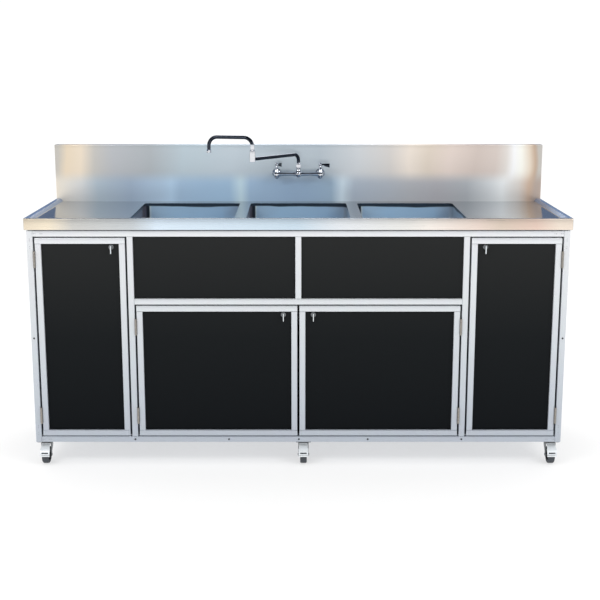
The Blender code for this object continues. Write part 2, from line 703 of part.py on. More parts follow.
def rear_frame():
    """Rear posts with the top and bottom rails that run forward to the front frame."""
    side = FRAME_HALF - TUBE / 2
    inner = BAY_HALF + TUBE / 2
    low, high = FRAME_BOTTOM + TUBE, FRAME_TOP - TUBE
    frame = comb("rear_frame", (-side, -inner, 0.0, inner, side), FRAME_BOTTOM, low)
    join(frame, comb("top_rails", (-side, side), high, FRAME_TOP))
    for name, x, y, braked in caster_places():
        seat = box(f"plate_seat_{name}",
                   (x - CASTER_PLATE_WIDTH / 2 - TOUCH, y - CASTER_PLATE_LENGTH, FRAME_BOTTOM - TUBE),
                   (x + CASTER_PLATE_WIDTH / 2 + TOUCH, y + CASTER_PLATE_LENGTH / 2 + TOUCH,
                    FRAME_BOTTOM + CASTER_PLATE / 4 + TOUCH))
        if braked:
            cut(frame, seat)
        else:
            join(frame, caster_plate(f"plate_{name}", x, y))
    for place in (-side, side):
        join(frame, box(f"rear_post_{place:.1f}", (place - TUBE / 2, FRAME_REAR - TUBE, low - TUBE / 2),
                        (place + TUBE / 2, FRAME_REAR, high + TUBE / 2)))
    add(frame, aluminium())


# ---- panels ---------------------------------------------------------------------------
def panels():
    finish = black_panel()
    middle = FRAME_FRONT + TUBE / 2
    sheet = (middle - PANEL / 2, middle + PANEL / 2)
    for name, left, right in (("fascia_left", -BAY_HALF, -TUBE / 2), ("fascia_right", TUBE / 2, BAY_HALF)):
        add(box(name, (left + TOUCH, sheet[0], MIDDLE_RAIL_TOP + TOUCH),
                (right - TOUCH, sheet[1], FRAME_TOP - TUBE - TOUCH)), finish)
    rear = FRAME_REAR - TUBE / 2
    inner = FRAME_HALF - TUBE
    low, high = FRAME_BOTTOM + TUBE + TOUCH, FRAME_TOP - TUBE - TOUCH
    add(box("back_panel", (-inner + TOUCH, rear - PANEL / 2, low), (inner - TOUCH, rear + PANEL / 2, high)),
        finish)
    for name, side in (("side_panel_left", -1), ("side_panel_right", 1)):
        x = side * (FRAME_HALF - TUBE / 2)
        add(box(name, (x - PANEL / 2, FRAME_FRONT + TUBE + TOUCH, low),
                (x + PANEL / 2, FRAME_REAR - TUBE - TOUCH, high)), finish)
    edge = inner - TOUCH
    add(box("floor_panel", (-edge, FRAME_FRONT + TUBE + TOUCH, low),
            (edge, FRAME_REAR - TUBE - TOUCH, low + PANEL)), aluminium())


# ---- doors ----------------------------------------------------------------------------
def door_list():
    """(name, left edge, right edge, top, hinge side) of each door."""
    left, right = BAY_HALF + TUBE + DOOR_SIDE_GAP, FRAME_HALF - TUBE - DOOR_SIDE_GAP
    meeting, outer = DOOR_MEETING_GAP / 2, BAY_HALF - DOOR_SIDE_GAP
    tall, short = FRAME_TOP - TUBE - DOOR_TOP_GAP, MIDDLE_RAIL_BOTTOM - DOOR_TOP_GAP
    return [("left", -right, -left, tall, -1), ("centre_left", -outer, -meeting, short, -1),
            ("centre_right", meeting, outer, short, 1), ("right", left, right, tall, 1)]


def door_axis(left, right, side):
    """The hinge line, in the middle of the side gap and in front of the frame."""
    x = (left if side < 0 else right) + side * DOOR_SIDE_GAP / 2
    return (x, FRAME_FRONT - HINGE_STANDOFF, 0.0)


def lock_place(left, right, top, side):
    inward = TUBE + LOCK_BESIDE
    return (right - inward if side < 0 else left + inward), top - TUBE - LOCK_BELOW


def door(name, left, right, top, side):
    bottom = FRAME_BOTTOM + TUBE + DOOR_BOTTOM_GAP
    near, far = FRAME_FRONT, FRAME_FRONT + TUBE
    axis = door_axis(left, right, side)
    frame = upright_frame(f"door_frame_{name}", (left, bottom, right, top),
                          [(left + TUBE, bottom + TUBE, right - TUBE, top - TUBE)], near, far)
    add(frame, aluminium(), origin=axis)
    middle = (near + far) / 2
    sheet = box(f"door_panel_{name}", (left + TUBE + TOUCH, middle - PANEL / 2, bottom + TUBE + TOUCH),
                (right - TUBE - TOUCH, middle + PANEL / 2, top - TUBE - TOUCH))
    x, z = lock_place(left, right, top, side)
    cut(sheet, rod(f"{name}_lock_hole", (x, near, z), (x, far, z), LOCK_BARREL / 2 + TOUCH, 20))
    add(sheet, black_panel(), origin=axis)
    lock(name, x, z, side)
    ends = (("upper", top - HINGE_END_MARGIN - HINGE_HEIGHT), ("lower", bottom + HINGE_END_MARGIN))
    for level, low in ends:
        hinge(f"hinge_{name}_{level}", axis, low, side)


def hinge(name, axis, low, side):
    """The fixed half of a butt hinge: barrel in the door gap and leaf on the post."""
    x, y, _ = axis
    post = x + side * DOOR_SIDE_GAP / 2
    barrel = rod(name, (x, y, low), (x, y, low + HINGE_HEIGHT), HINGE_BARREL / 2, 14)
    leaf = sorted((post - side * TOUCH, post - side * (TOUCH + HINGE_LEAF)))
    join(barrel, box(f"{name}_leaf", (leaf[0], y, low + HINGE_LEAF),
                     (leaf[1], FRAME_FRONT + TUBE, low + HINGE_HEIGHT - HINGE_LEAF)))
    add(barrel, zinc(), smooth=True)


def lock(name, x, z, side):
    """A cam lock with its key: face and barrel in the panel, cam behind the frame."""
    panel_front = FRAME_FRONT + TUBE / 2 - PANEL / 2
    face = panel_front - TOUCH
    behind = FRAME_FRONT + TUBE + RUN
    piece = rod(f"lock_{name}", (x, face - LOCK_PROUD, z), (x, face, z), LOCK_FACE / 2, 20)
    cam = sorted((x - side * CAM_WIDTH / 2, x + side * CAM_LENGTH))
    key = face - LOCK_PROUD
    bow = KEY_REACH * 0.2
    outline = [(0.0, KEY_ABOVE * 0.5), (-bow, KEY_ABOVE), (-KEY_REACH, KEY_ABOVE),
               (-KEY_REACH, -KEY_BELOW * 0.7), (-KEY_REACH * 0.65, -KEY_BELOW), (-bow, -KEY_BELOW),
               (LOCK_PROUD / 3, -KEY_BELOW * 0.3), (LOCK_PROUD / 3, KEY_ABOVE * 0.5)]
    turn = Matrix(((0, 0, 1, x), (1, 0, 0, key), (0, 1, 0, z), (0, 0, 0, 1)))
    end = behind + CAM_THICKNESS
    join(piece,
         rod(f"{name}_barrel", (x, face - LOCK_PROUD / 2, z), (x, end, z), LOCK_BARREL / 2, 16),
         box(f"{name}_cam", (cam[0], behind, z - CAM_WIDTH / 2), (cam[1], end, z + CAM_WIDTH / 2)),
         plate(f"{name}_key", outline, KEY_THICKNESS, turn))
    add(piece, zinc(), origin=(x, key, z))


# ---- casters --------------------------------------------------------------------------
def side_plate_matrix(x, y):
    """Turns an outline drawn in (along Y, up Z) to stand across X at a place."""
    return Matrix(((0, 0, 1, x), (1, 0, 0, y), (0, 1, 0, 0), (0, 0, 0, 1)))


def caster_fork(name, x, y):
    """Crown, two legs and the axle; the wheel trails towards the user."""
    top = FRAME_BOTTOM - CASTER_PLATE - RUN
    low = top - CROWN_HEIGHT
    fork = rod(f"caster_fork_{name}", (x, y, low), (x, y, top), CROWN / 2, 24, CROWN / 2 * 0.9)
    inner = HUB_WIDTH / 2 + FORK_CLEAR
    head = low + CROWN_HEIGHT / 3
    outline = [(CROWN * 0.40, head), (-CROWN * 0.52, head), (-CROWN * 0.62, low - CROWN_HEIGHT * 0.64)]
    outline += arc((-CASTER_TRAIL, AXLE_HEIGHT), AXLE_BOSS, math.pi, 2 * math.pi, 6)
    outline += [(CROWN * 0.22, low - CROWN_HEIGHT)]
    for side in (-1, 1):
        middle = x + side * (inner + FORK_LEG / 2)
        join(fork, plate(f"{name}_leg_{side}", outline, FORK_LEG, side_plate_matrix(middle, y)))
    end = inner + FORK_LEG + AXLE_PROUD
    reach = inner + FORK_LEG / 2
    join(fork, box(f"{name}_bridge", (x - reach, y - CROWN * 0.42, low - FORK_LEG / 2),
                   (x + reach, y + CROWN * 0.38, low + FORK_LEG)),
         rod(f"{name}_axle", (x - end, y - CASTER_TRAIL, AXLE_HEIGHT),
             (x + end, y - CASTER_TRAIL, AXLE_HEIGHT), AXLE / 2, 12))
    add(fork, zinc(), origin=(x, y, top))


def caster_wheel(name, x, y):
    """Rounded tread on a narrow hub with the axle bore."""
    half, hub = WHEEL_WIDTH / 2, HUB_WIDTH / 2
    tread, bore = WHEEL_DIAMETER / 2, AXLE / 2 + RUN / 2
    cover = bore + AXLE
    profile = [(bore, hub), (cover - AXLE / 8, hub), (cover + AXLE / 8, half * 0.7),
               (tread * 0.72, half * 0.75), (tread * 0.78, half), (tread * 0.95, half * 0.9),
               (tread, half * 0.55)]
    profile += [(radius, -height) for radius, height in reversed(profile)]
    centre = (x, y - CASTER_TRAIL, AXLE_HEIGHT)
    add(turned(f"caster_wheel_{name}", profile, centre, direction=(1, 0, 0), sides=28, ring=True),
        tread_rubber(), origin=centre, smooth=True)


def pedal_pivot(x, y):
    """The pedal's pin, in front of the crown and over the wheel."""
    low = FRAME_BOTTOM - CASTER_PLATE - RUN - CROWN_HEIGHT
    return (x, y - CROWN / 2 - PEDAL_PIVOT * 0.7, low - PEDAL_PIVOT * 0.2)


def brake_pedal(name, x, y):
    """A bent foot pedal over the wheel's front, on a barrel between the fork's legs."""
    pivot = Vector(pedal_pivot(x, y))
    inner = HUB_WIDTH / 2 + FORK_CLEAR - TOUCH * 2
    across = Vector((inner, 0, 0))
    piece = rod(f"brake_pedal_{name}", pivot - across, pivot + across, PEDAL_PIVOT / 2, 14)
    wheel = (-CASTER_TRAIL, AXLE_HEIGHT)
    reach = WHEEL_DIAMETER / 2 + PEDAL_CLEAR
    bend = arc(wheel, reach, PEDAL_UPPER, PEDAL_LOWER, 5)
    outside = arc(wheel, reach + PEDAL_SHEET, PEDAL_LOWER, PEDAL_UPPER, 5)
    edge, lip = bend[-1][0], AXLE_HEIGHT + PEDAL_SHEET
    outline = bend + [(edge - PEDAL_SHEET / 2, lip), (edge - PEDAL_SHEET * 1.5, lip)] + outside
    neck = [(pivot.y - y, pivot.z - PEDAL_SHEET / 2), bend[0], bend[1], outside[-2], outside[-1],
            (pivot.y - y, pivot.z + PEDAL_SHEET / 2)]
    join(piece, plate(f"{name}_tread", outline, PEDAL_WIDTH, side_plate_matrix(x, y)),
         plate(f"{name}_neck", neck, 2 * inner - PEDAL_SHEET, side_plate_matrix(x, y)))
    add(piece, chrome(), origin=pivot)


def casters():
    for name, x, y, braked in caster_places():
        caster_fork(name, x, y)
        caster_wheel(name, x, y)
        if braked:
            brake_pedal(name, x, y)


# ---- water system ---------------------------------------------------------------------
def waste_tank_x():
    return BAY_PITCH * 0.75


def tank(name, middle, width):
    """A blow-moulded tank with an open filler neck."""
    base = FLOOR_TOP + TOUCH
    half, depth = width / 2, TANK_DEPTH / 2
    shell = pan(name, (middle - half, BOWL_MIDDLE - depth, base),
                (middle + half, BOWL_MIDDLE + depth, TANK_TOP), TANK_CORNER, round_top=True)
    neck = TANK_TOP + TANK_NECK_HEIGHT
    wall = TANK_WALL
    join(shell, rod(f"{name}_neck", (middle, BOWL_MIDDLE, TANK_TOP - wall), (middle, BOWL_MIDDLE, neck),
                    TANK_NECK / 2, 20))
    cut(shell, pan(f"{name}_inside", (middle - half + wall, BOWL_MIDDLE - depth + wall, base + wall),
                   (middle + half - wall, BOWL_MIDDLE + depth - wall, TANK_TOP - wall), TANK_CORNER - wall,
                   round_top=True))
    cut(shell, rod(f"{name}_mouth", (middle, BOWL_MIDDLE, TANK_TOP - 3 * wall),
                   (middle, BOWL_MIDDLE, neck + wall), TANK_NECK / 2 - wall, 20))
    add(shell, tank_plastic())


def water_heater():
    """A small storage heater on the floor of the right-hand cabinet, with two open ports."""
    middle = (BAY_HALF + TUBE + FRAME_HALF - TUBE) / 2
    base = FLOOR_TOP + TOUCH
    top = base + HEATER_HEIGHT
    half, depth, wall = HEATER_WIDTH / 2, HEATER_DEPTH / 2, HEATER_WALL
    case = pan("water_heater", (middle - half, -depth, base), (middle + half, depth, top), HEATER_CORNER,
               round_top=True)
    inside = pan("heater_inside", (middle - half + wall, -depth + wall, base + wall),
                 (middle + half - wall, depth - wall, top - wall), HEATER_CORNER - wall, round_top=True)
    ports = [middle + side * half / 2 for side in (-1, 1)]
    for x in ports:
        join(case, rod(f"heater_port_{x:.2f}", (x, 0, top - wall / 2), (x, 0, top + HEATER_PORT),
                       HEATER_PORT_WIDTH / 2, 12))
    cut(case, inside)
    for x in ports:
        cut(case, rod(f"heater_bore_{x:.2f}", (x, 0, top - 2 * wall), (x, 0, top + HEATER_PORT + wall),
                      HEATER_BORE / 2, 12))
    add(case, enamel())


def water_pump():
    """A diaphragm pump lying on the floor between the tanks."""
    x = (fresh_tank_x() + FRESH_TANK_WIDTH / 2 + waste_tank_x() - WASTE_TANK_WIDTH / 2) / 2
    base = FLOOR_TOP + TOUCH
    half = PUMP_HEAD / 2
    level = base + half
    front, rear = -PUMP_LENGTH / 2, PUMP_LENGTH / 2
    head = front + PUMP_HEAD_LENGTH
    root = head - PUMP_BASE
    pump = box("water_pump", (x - half, front, base), (x + half, head, base + PUMP_HEAD))
    join(pump,
         rod("pump_motor", (x, root, level), (x, rear, level), PUMP_MOTOR / 2, 20),
         box("pump_foot", (x - half, root, base), (x + half, rear - half / 2, base + PUMP_BASE)),
         box("pump_saddle", (x - half / 2, root, base), (x + half / 2, rear - half, level)))
    middle = (front + head) / 2
    for side in (-1, 1):
        join(pump, rod(f"pump_port_{side}", (x, middle, level),
                       (x + side * (half + PUMP_PORT), middle, level), PUMP_PORT / 2, 12))
    add(pump, motor_paint())


def fresh_tank_x():
    return -BAY_PITCH * 0.85


# ---- build ----------------------------------------------------------------------------
def build():
    global PARTS, CUTTERS
    clear_scene()
    PARTS = new_collection("three_compartment_sink")
    CUTTERS = new_collection("cutters")
    sink_top()
    for index, place in enumerate(("left", "centre", "right")):
        bowl(f"bowl_{place}", index)
        strainer(f"strainer_{place}", index)
    drain_manifold()
    faucet_body()
    lever("lever_hot", -1, LEVER_HOT_ANGLE)
    lever("lever_cold", 1, LEVER_COLD_ANGLE)
    spout_inner_arm()
    spout_outer_arm()
    front_frame()
    rear_frame()
    panels()
    for entry in door_list():
        door(*entry)
    casters()
    tank("fresh_water_tank", fresh_tank_x(), FRESH_TANK_WIDTH)
    tank("waste_water_tank", waste_tank_x(), WASTE_TANK_WIDTH)
    water_heater()
    water_pump()


build()
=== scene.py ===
"""Looks of a three compartment sink: stainless top, faucet, tube cabinet, doors and casters.

Laid out as an add-on: the sizes and colours are settings, each group of pieces is an
operator, and a panel in the sidebar lists them. Metres, +Z up, -Y towards the user.
"""
import json
import math
from contextlib import contextmanager

import bmesh
import bpy
from mathutils import Matrix, Vector


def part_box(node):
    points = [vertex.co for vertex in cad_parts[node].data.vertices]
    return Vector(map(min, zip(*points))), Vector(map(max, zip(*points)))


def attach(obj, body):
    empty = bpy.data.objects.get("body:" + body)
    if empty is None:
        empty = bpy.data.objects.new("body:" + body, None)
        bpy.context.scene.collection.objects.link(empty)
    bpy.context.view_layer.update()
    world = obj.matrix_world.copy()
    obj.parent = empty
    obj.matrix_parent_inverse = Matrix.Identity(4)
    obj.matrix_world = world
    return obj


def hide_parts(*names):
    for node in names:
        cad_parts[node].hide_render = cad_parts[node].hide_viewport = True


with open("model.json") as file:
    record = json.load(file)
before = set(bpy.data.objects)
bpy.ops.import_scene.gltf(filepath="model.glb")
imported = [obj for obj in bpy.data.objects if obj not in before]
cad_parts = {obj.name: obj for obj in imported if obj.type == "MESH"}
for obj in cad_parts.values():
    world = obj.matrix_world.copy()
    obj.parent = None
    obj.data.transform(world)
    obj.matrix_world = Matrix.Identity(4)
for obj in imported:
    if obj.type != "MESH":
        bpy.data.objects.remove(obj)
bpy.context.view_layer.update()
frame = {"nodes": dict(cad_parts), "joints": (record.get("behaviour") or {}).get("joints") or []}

bl_info = {
    "name": "Three Compartment Sink",
    "version": (1, 0, 0),
    "blender": (4, 5, 0),
    "location": "View3D > Sidebar > Sink",
    "description": "Builds the visible pieces of a portable three compartment sink",
    "category": "Object",
}

JOINTS = {joint["name"]: joint for joint in frame["joints"]}
DOORS = ("left", "centre_left", "centre_right", "right")
BOWLS = ("left", "centre", "right")
CASTERS = [f"{end}_{place}" for end in ("front", "rear") for place in BOWLS]

TOP_LOW, TOP_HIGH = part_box("sink_top")
FRAME_LOW, FRAME_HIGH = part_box("front_frame")
BOWL_LOW, BOWL_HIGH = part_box("bowl_centre")
REAR_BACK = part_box("rear_frame")[1].y
SHEET = 0.0016          # stainless sheet
TOUCH = 0.0003          # gap between pieces that touch
TUBE = 0.0254           # width of the square tube
DECK = BOWL_HIGH.z + TOUCH + SHEET      # level of the deck's face
SKY = 1.05              # brightness of the studio's white
LENS = 69.87            # the camera's, in millimetres


def linear(code, alpha=None):
    """An sRGB hex colour as linear values."""
    parts = [int(code[i:i + 2], 16) / 255 for i in (1, 3, 5)]
    parts = [c / 12.92 if c <= 0.04045 else ((c + 0.055) / 1.055) ** 2.4 for c in parts]
    return tuple(parts) if alpha is None else (*parts, alpha)


# ---- settings -------------------------------------------------------------------------
def size(label, description, default):
    return bpy.props.FloatProperty(name=label, description=description, default=default,
                                   min=0.0, unit="LENGTH", subtype="DISTANCE", precision=4)


def colour(label, description, code):
    return bpy.props.FloatVectorProperty(name=label, description=description, default=linear(code),
                                         size=3, min=0.0, max=1.0, subtype="COLOR")


class SinkTopSettings(bpy.types.PropertyGroup):
    rim_rise: size("Rim rise", "Height of the raised edge above the deck", 0.014)
    rim_flat: size("Rim flat", "Width of the raised edge's flat top", 0.020)
    rim_slope: size("Rim slope", "Width of the slope from the raised edge to the deck", 0.012)
    apron: size("Apron", "Height of the front and end aprons", 0.0495)
    fold: size("Fold radius", "Radius of the folds in the sheet", 0.0028)
    hem: size("Hem", "Width of the hem under the apron", 0.012)
    splash_return: size("Backsplash return", "Depth of the backsplash's top", 0.051)
    splash_flange: size("Backsplash flange", "Height of the flange behind the top", 0.018)
    mouth_overhang: size("Mouth overhang", "How far the deck stands over the bowl's wall", 0.004)


class BowlSettings(bpy.types.PropertyGroup):
    corner: size("Bowl corner", "Radius of the upright corners", 0.022)
    floor_radius: size("Floor radius", "Radius between wall and floor", 0.019)
    floor_fall: size("Floor fall", "Fall of the floor to the drain", 0.003)
    flange: size("Bowl flange", "Width of the flange welded under the deck", 0.010)
    drain_hole: size("Drain hole", "Diameter of the hole in the floor", 0.089)


class CabinetSettings(bpy.types.PropertyGroup):
    corner: size("Tube corner", "Radius of the square tube's long edges", 0.0030)
    seam: size("Seam", "Open line where two tubes meet", 0.0004)
    stake: size("Stake mark", "Diameter of the marks beside the tube joints", 0.0030)
    screw: size("Screw head", "Diameter of the panel screws' heads", 0.0078)
    knuckles: bpy.props.IntProperty(name="Knuckles", description="Knuckles on each hinge", default=5, min=3)


class FaucetSettings(bpy.types.PropertyGroup):
    bar: size("Bar", "Diameter of the bar between the valves", 0.018)
    tube: size("Spout tube", "Diameter of the spout's tube", 0.016)
    valve: size("Valve", "Diameter of the valve bodies", 0.026)
    lever_length: size("Lever", "Length of the blade levers", 0.043)


class CasterSettings(bpy.types.PropertyGroup):
    crown: size("Crown", "Diameter of the fork's crown", 0.046)
    tread: size("Tread width", "Width of the wheel's tread", 0.030)
    pedal: size("Pedal width", "Width of the brake pedal", 0.042)


class StudioSettings(bpy.types.PropertyGroup):
    camera_height: size("Camera height", "Height of the camera above the floor", 1.748)
    camera_distance: size("Camera distance", "Distance in front of the counter's middle", 5.165)
    camera_pitch: bpy.props.FloatProperty(name="Pitch", description="Angle of the camera from straight down",
                                          default=math.radians(78.09), unit="ROTATION", subtype="ANGLE")
    floor_size: size("Floor size", "Width of the studio floor", 400.0)
    floor: colour("Floor", "Colour of the studio floor", "#f7f7f7")


class FinishSettings(bpy.types.PropertyGroup):
    stainless: colour("Stainless", "Brushed stainless sheet", "#e2e6ea")
    chrome: colour("Chrome", "Polished chrome plate", "#dfe1e6")
    zinc: colour("Zinc", "Zinc plate", "#e2e7ea")
    tread: colour("Tread", "Grey rubber", "#3a3f45")
    pipe: colour("Pipe", "White waste pipe", "#dcdcd6")
    tank: colour("Tank", "Blow-moulded tank", "#ccd6da")
    enamel: colour("Enamel", "Heater's enamel", "#e2e2dc")


# ---- materials ------------------------------------------------------------------------
def node(tree, kind, values=None, inputs=None):
    """Adds one node; inputs take a value or another node's output, stops fill a ramp with hex colours."""
    made = tree.nodes.new(kind)
    for name, value in (values or {}).items():
        if name == "stops":
            ramp = made.color_ramp.elements
            ramp.remove(ramp[1])
            ramp[0].position = value[0][0]
            ramp[0].color = linear(value[0][1], 1.0)
            for position, code in value[1:]:
                ramp.new(position).color = linear(code, 1.0)
        else:
            setattr(made, name, value)
    for name, value in (inputs or {}).items():
        if isinstance(value, bpy.types.NodeSocket):
            tree.links.new(value, made.inputs[name])
        else:
            made.inputs[name].default_value = value
    return made


def principled(name, shade, roughness, metallic=0.0, **sockets):
    """A named Principled finish with its constants set on the shader's own sockets."""
    made = bpy.data.materials.new(name)
    made.use_nodes = True
    tree = made.node_tree
    shader = tree.nodes["Principled BSDF"]
    shader.inputs["Base Color"].default_value = (*shade, 1.0)
    shader.inputs["Roughness"].default_value = roughness
    shader.inputs["Metallic"].default_value = metallic
    for socket, value in sockets.items():
        shader.inputs[socket.replace("_", " ")].default_value = value
    made.diffuse_color = (*shade, 1.0)
    return made, tree, shader


def grain(tree, shader, stretch, strength, distance, roughness=None, shade=None):
    """Noise stretched to sizes along X, Y and Z in metres, as bump, roughness and shade.

    Brush lines (0.2 mm), grit and moulding texture (0.1 to 0.5 mm) and the crystals of zinc
    (1 mm) are too fine to show, so each is drawn as coarse as it needs to be: 1.5 to 8 mm.
    """
    place = node(tree, "ShaderNodeTexCoord")
    stretched = node(tree, "ShaderNodeMapping", {"vector_type": "POINT"},
                     {"Vector": place.outputs["Object"], "Scale": [1 / s for s in stretch]})
    noise = node(tree, "ShaderNodeTexNoise", {"noise_dimensions": "3D"},
                 {"Vector": stretched.outputs["Vector"], "Scale": 1.0, "Detail": 3.0, "Roughness": 0.6})
    bump = node(tree, "ShaderNodeBump", None,
                {"Height": noise.outputs["Fac"], "Strength": strength, "Distance": distance})
    tree.links.new(bump.outputs["Normal"], shader.inputs["Normal"])
    if roughness:
        spread = node(tree, "ShaderNodeMapRange", None,
                      {"Value": noise.outputs["Fac"], "From Min": 0.3, "From Max": 0.7,
                       "To Min": roughness[0], "To Max": roughness[1]})
        tree.links.new(spread.outputs["Result"], shader.inputs["Roughness"])
    if shade:
        tint = node(tree, "ShaderNodeMix", {"data_type": "RGBA"},
                    {"Factor": noise.outputs["Fac"], 6: (*shade[0], 1.0), 7: (*shade[1], 1.0)})
        tree.links.new(tint.outputs[2], shader.inputs["Base Color"])
    return place, noise


def scaled(shade, factor):
    """A colour made darker or lighter."""
    return tuple(min(1.0, c * factor) for c in shade)


def along_x(tree, place, stops):
    """A ramp of colours along the counter's whole width, softened by broad noise: the painted reflections on
    the apron and backsplash.
    """
    axes = node(tree, "ShaderNodeSeparateXYZ", None, {"Vector": place.outputs["Object"]})
    waver = node(tree, "ShaderNodeTexNoise", None,
                 {"Vector": place.outputs["Object"], "Scale": 3.0, "Detail": 1.0})
    bent = node(tree, "ShaderNodeMath", {"operation": "MULTIPLY_ADD"},
                {0: waver.outputs["Fac"], 1: 0.10, 2: axes.outputs["X"]})
    across = node(tree, "ShaderNodeMapRange", None,
                  {"Value": bent.outputs["Value"],
                   "From Min": TOP_LOW.x + 0.05, "From Max": TOP_HIGH.x + 0.05})
    half = TOP_HIGH.x
    spots = [((x + half) / (2 * half), code) for x, code in stops]
    return node(tree, "ShaderNodeValToRGB", {"stops": spots}, {"Fac": across.outputs["Result"]}), axes


def up_cabinet(tree, place, stops):
    """A ramp of colours from the foot of the cabinet's frame to its top: painted shade, darker towards the
    foot.
    """
    axes = node(tree, "ShaderNodeSeparateXYZ", None, {"Vector": place.outputs["Object"]})
    rise = node(tree, "ShaderNodeMapRange", None,
                {"Value": axes.outputs["Z"], "From Min": FRAME_LOW.z, "From Max": FRAME_HIGH.z})
    return node(tree, "ShaderNodeValToRGB", {"stops": stops}, {"Fac": rise.outputs["Result"]})


def finish(name):
    """The named finish, made the first time it is asked for."""
    return bpy.data.materials.get(name) or FINISHES[name](bpy.context.scene.sink_finish)


def stainless_deck(shades):
    """Cold-rolled sheet, brushed along its length: near-mirror with faint long streaks."""
    made, tree, shader = principled("brushed stainless deck", shades.stainless, 0.12, 1.0)
    grain(tree, shader, (0.80, 0.006, 0.006), 0.010, 0.0003, (0.11, 0.14),
          (scaled(shades.stainless, 0.60), scaled(shades.stainless, 0.66)))
    return made


def stainless_apron(shades):
    """The same sheet on the apron, with painted reflections: blue-white in the middle, straw tinted at the
    ends.
    """
    made, tree, shader = principled("brushed stainless apron", shades.stainless, 0.28, 0.5)
    place, _ = grain(tree, shader, (0.60, 0.006, 0.006), 0.008, 0.0003, (0.26, 0.30))
    # Painted reflections along the apron: blue-white in the middle, straw at the ends.
    painted_band, _ = along_x(tree, place, [
        (-1.14, "#dccfba"), (-1.04, "#e9dcc5"), (-0.95, "#c2c1bd"), (-0.70, "#bdc2c5"), (-0.60, "#cfdde9"),
        (0.0, "#bfd0dc"), (0.20, "#d8dce0"), (0.45, "#dbdad6"), (0.55, "#e6dfd8"), (0.75, "#dccbc0"),
        (0.85, "#cfbfb0"), (1.0, "#d8bfb1"), (1.10, "#e2d4c5")])
    tree.links.new(painted_band.outputs["Color"], shader.inputs["Base Color"])
    return made


def stainless_rim(shades):
    """The same sheet on the raised ends, coloured blue as a painted reflection of the open side."""
    made, tree, shader = principled("brushed stainless rim", linear("#8ea3c4"), 0.22, 0.6)
    grain(tree, shader, (0.20, 0.20, 0.20), 0.006, 0.0003, (0.20, 0.26),
          (linear("#7f94b8"), linear("#a5b8d4")))
    return made


def stainless_splash(shades):
    """The same sheet standing up, with painted reflections: soft upright bands, straw at both ends and blue
    low down.
    """
    made, tree, shader = principled("brushed stainless backsplash", shades.stainless, 0.30, 0.35)
    place, _ = grain(tree, shader, (0.80, 0.008, 0.008), 0.006, 0.0003, (0.28, 0.32))
    # Painted reflections: one ramp for the upper sheet, one bluer ramp for the lower sheet, blended by
    # height.
    high, axes = along_x(tree, place, [
        (-1.13, "#c5c1b9"), (-1.09, "#e8d7be"), (-1.02, "#efe0cb"), (-0.95, "#cbc8c2"), (-0.86, "#bfc2c6"),
        (-0.70, "#b7bdc1"), (-0.55, "#c4d3db"), (-0.30, "#cad6de"), (0.10, "#bec9d1"), (0.28, "#d8dcdf"),
        (0.42, "#e0dbd6"), (0.52, "#f7ebde"), (0.62, "#e8daca"), (0.72, "#ecdcd2"), (0.83, "#dacbc2"),
        (0.92, "#dccfc7"), (0.97, "#e6e0da"), (1.01, "#fafafa"), (1.05, "#faf9f1"), (1.09, "#e6d8c6"),
        (1.12, "#bfa58e"), (1.135, "#c3bfb9")])
    low, _ = along_x(tree, place, [
        (-1.14, "#e7decf"), (-1.02, "#dfe0df"), (-0.94, "#bdccd7"), (-0.80, "#adc0d5"), (-0.66, "#bfd7ed"),
        (-0.60, "#c8e3fa"), (-0.55, "#b6d2eb"), (-0.32, "#b4d2eb"), (-0.27, "#d9f0fa"), (-0.22, "#b3cfe9"),
        (0.0, "#aac3dc"), (0.16, "#adc5d9"), (0.22, "#e0f0fa"), (0.28, "#bec9d5"), (0.50, "#c4c5c8"),
        (0.66, "#bfbec2"), (0.80, "#bdc2c7"), (0.92, "#e6eaec"), (0.97, "#f6f9f9"), (1.05, "#e0d9d2"),
        (1.10, "#caaf99"), (1.13, "#b3a399")])
    rise = node(tree, "ShaderNodeMapRange", {"interpolation_type": "SMOOTHSTEP"},
                {"Value": axes.outputs["Z"], "From Min": DECK + 0.080, "From Max": DECK + 0.150})
    both = node(tree, "ShaderNodeMix", {"data_type": "RGBA"},
                {"Factor": rise.outputs["Result"], 6: low.outputs["Color"], 7: high.outputs["Color"]})
    tree.links.new(both.outputs[2], shader.inputs["Base Color"])
    return made


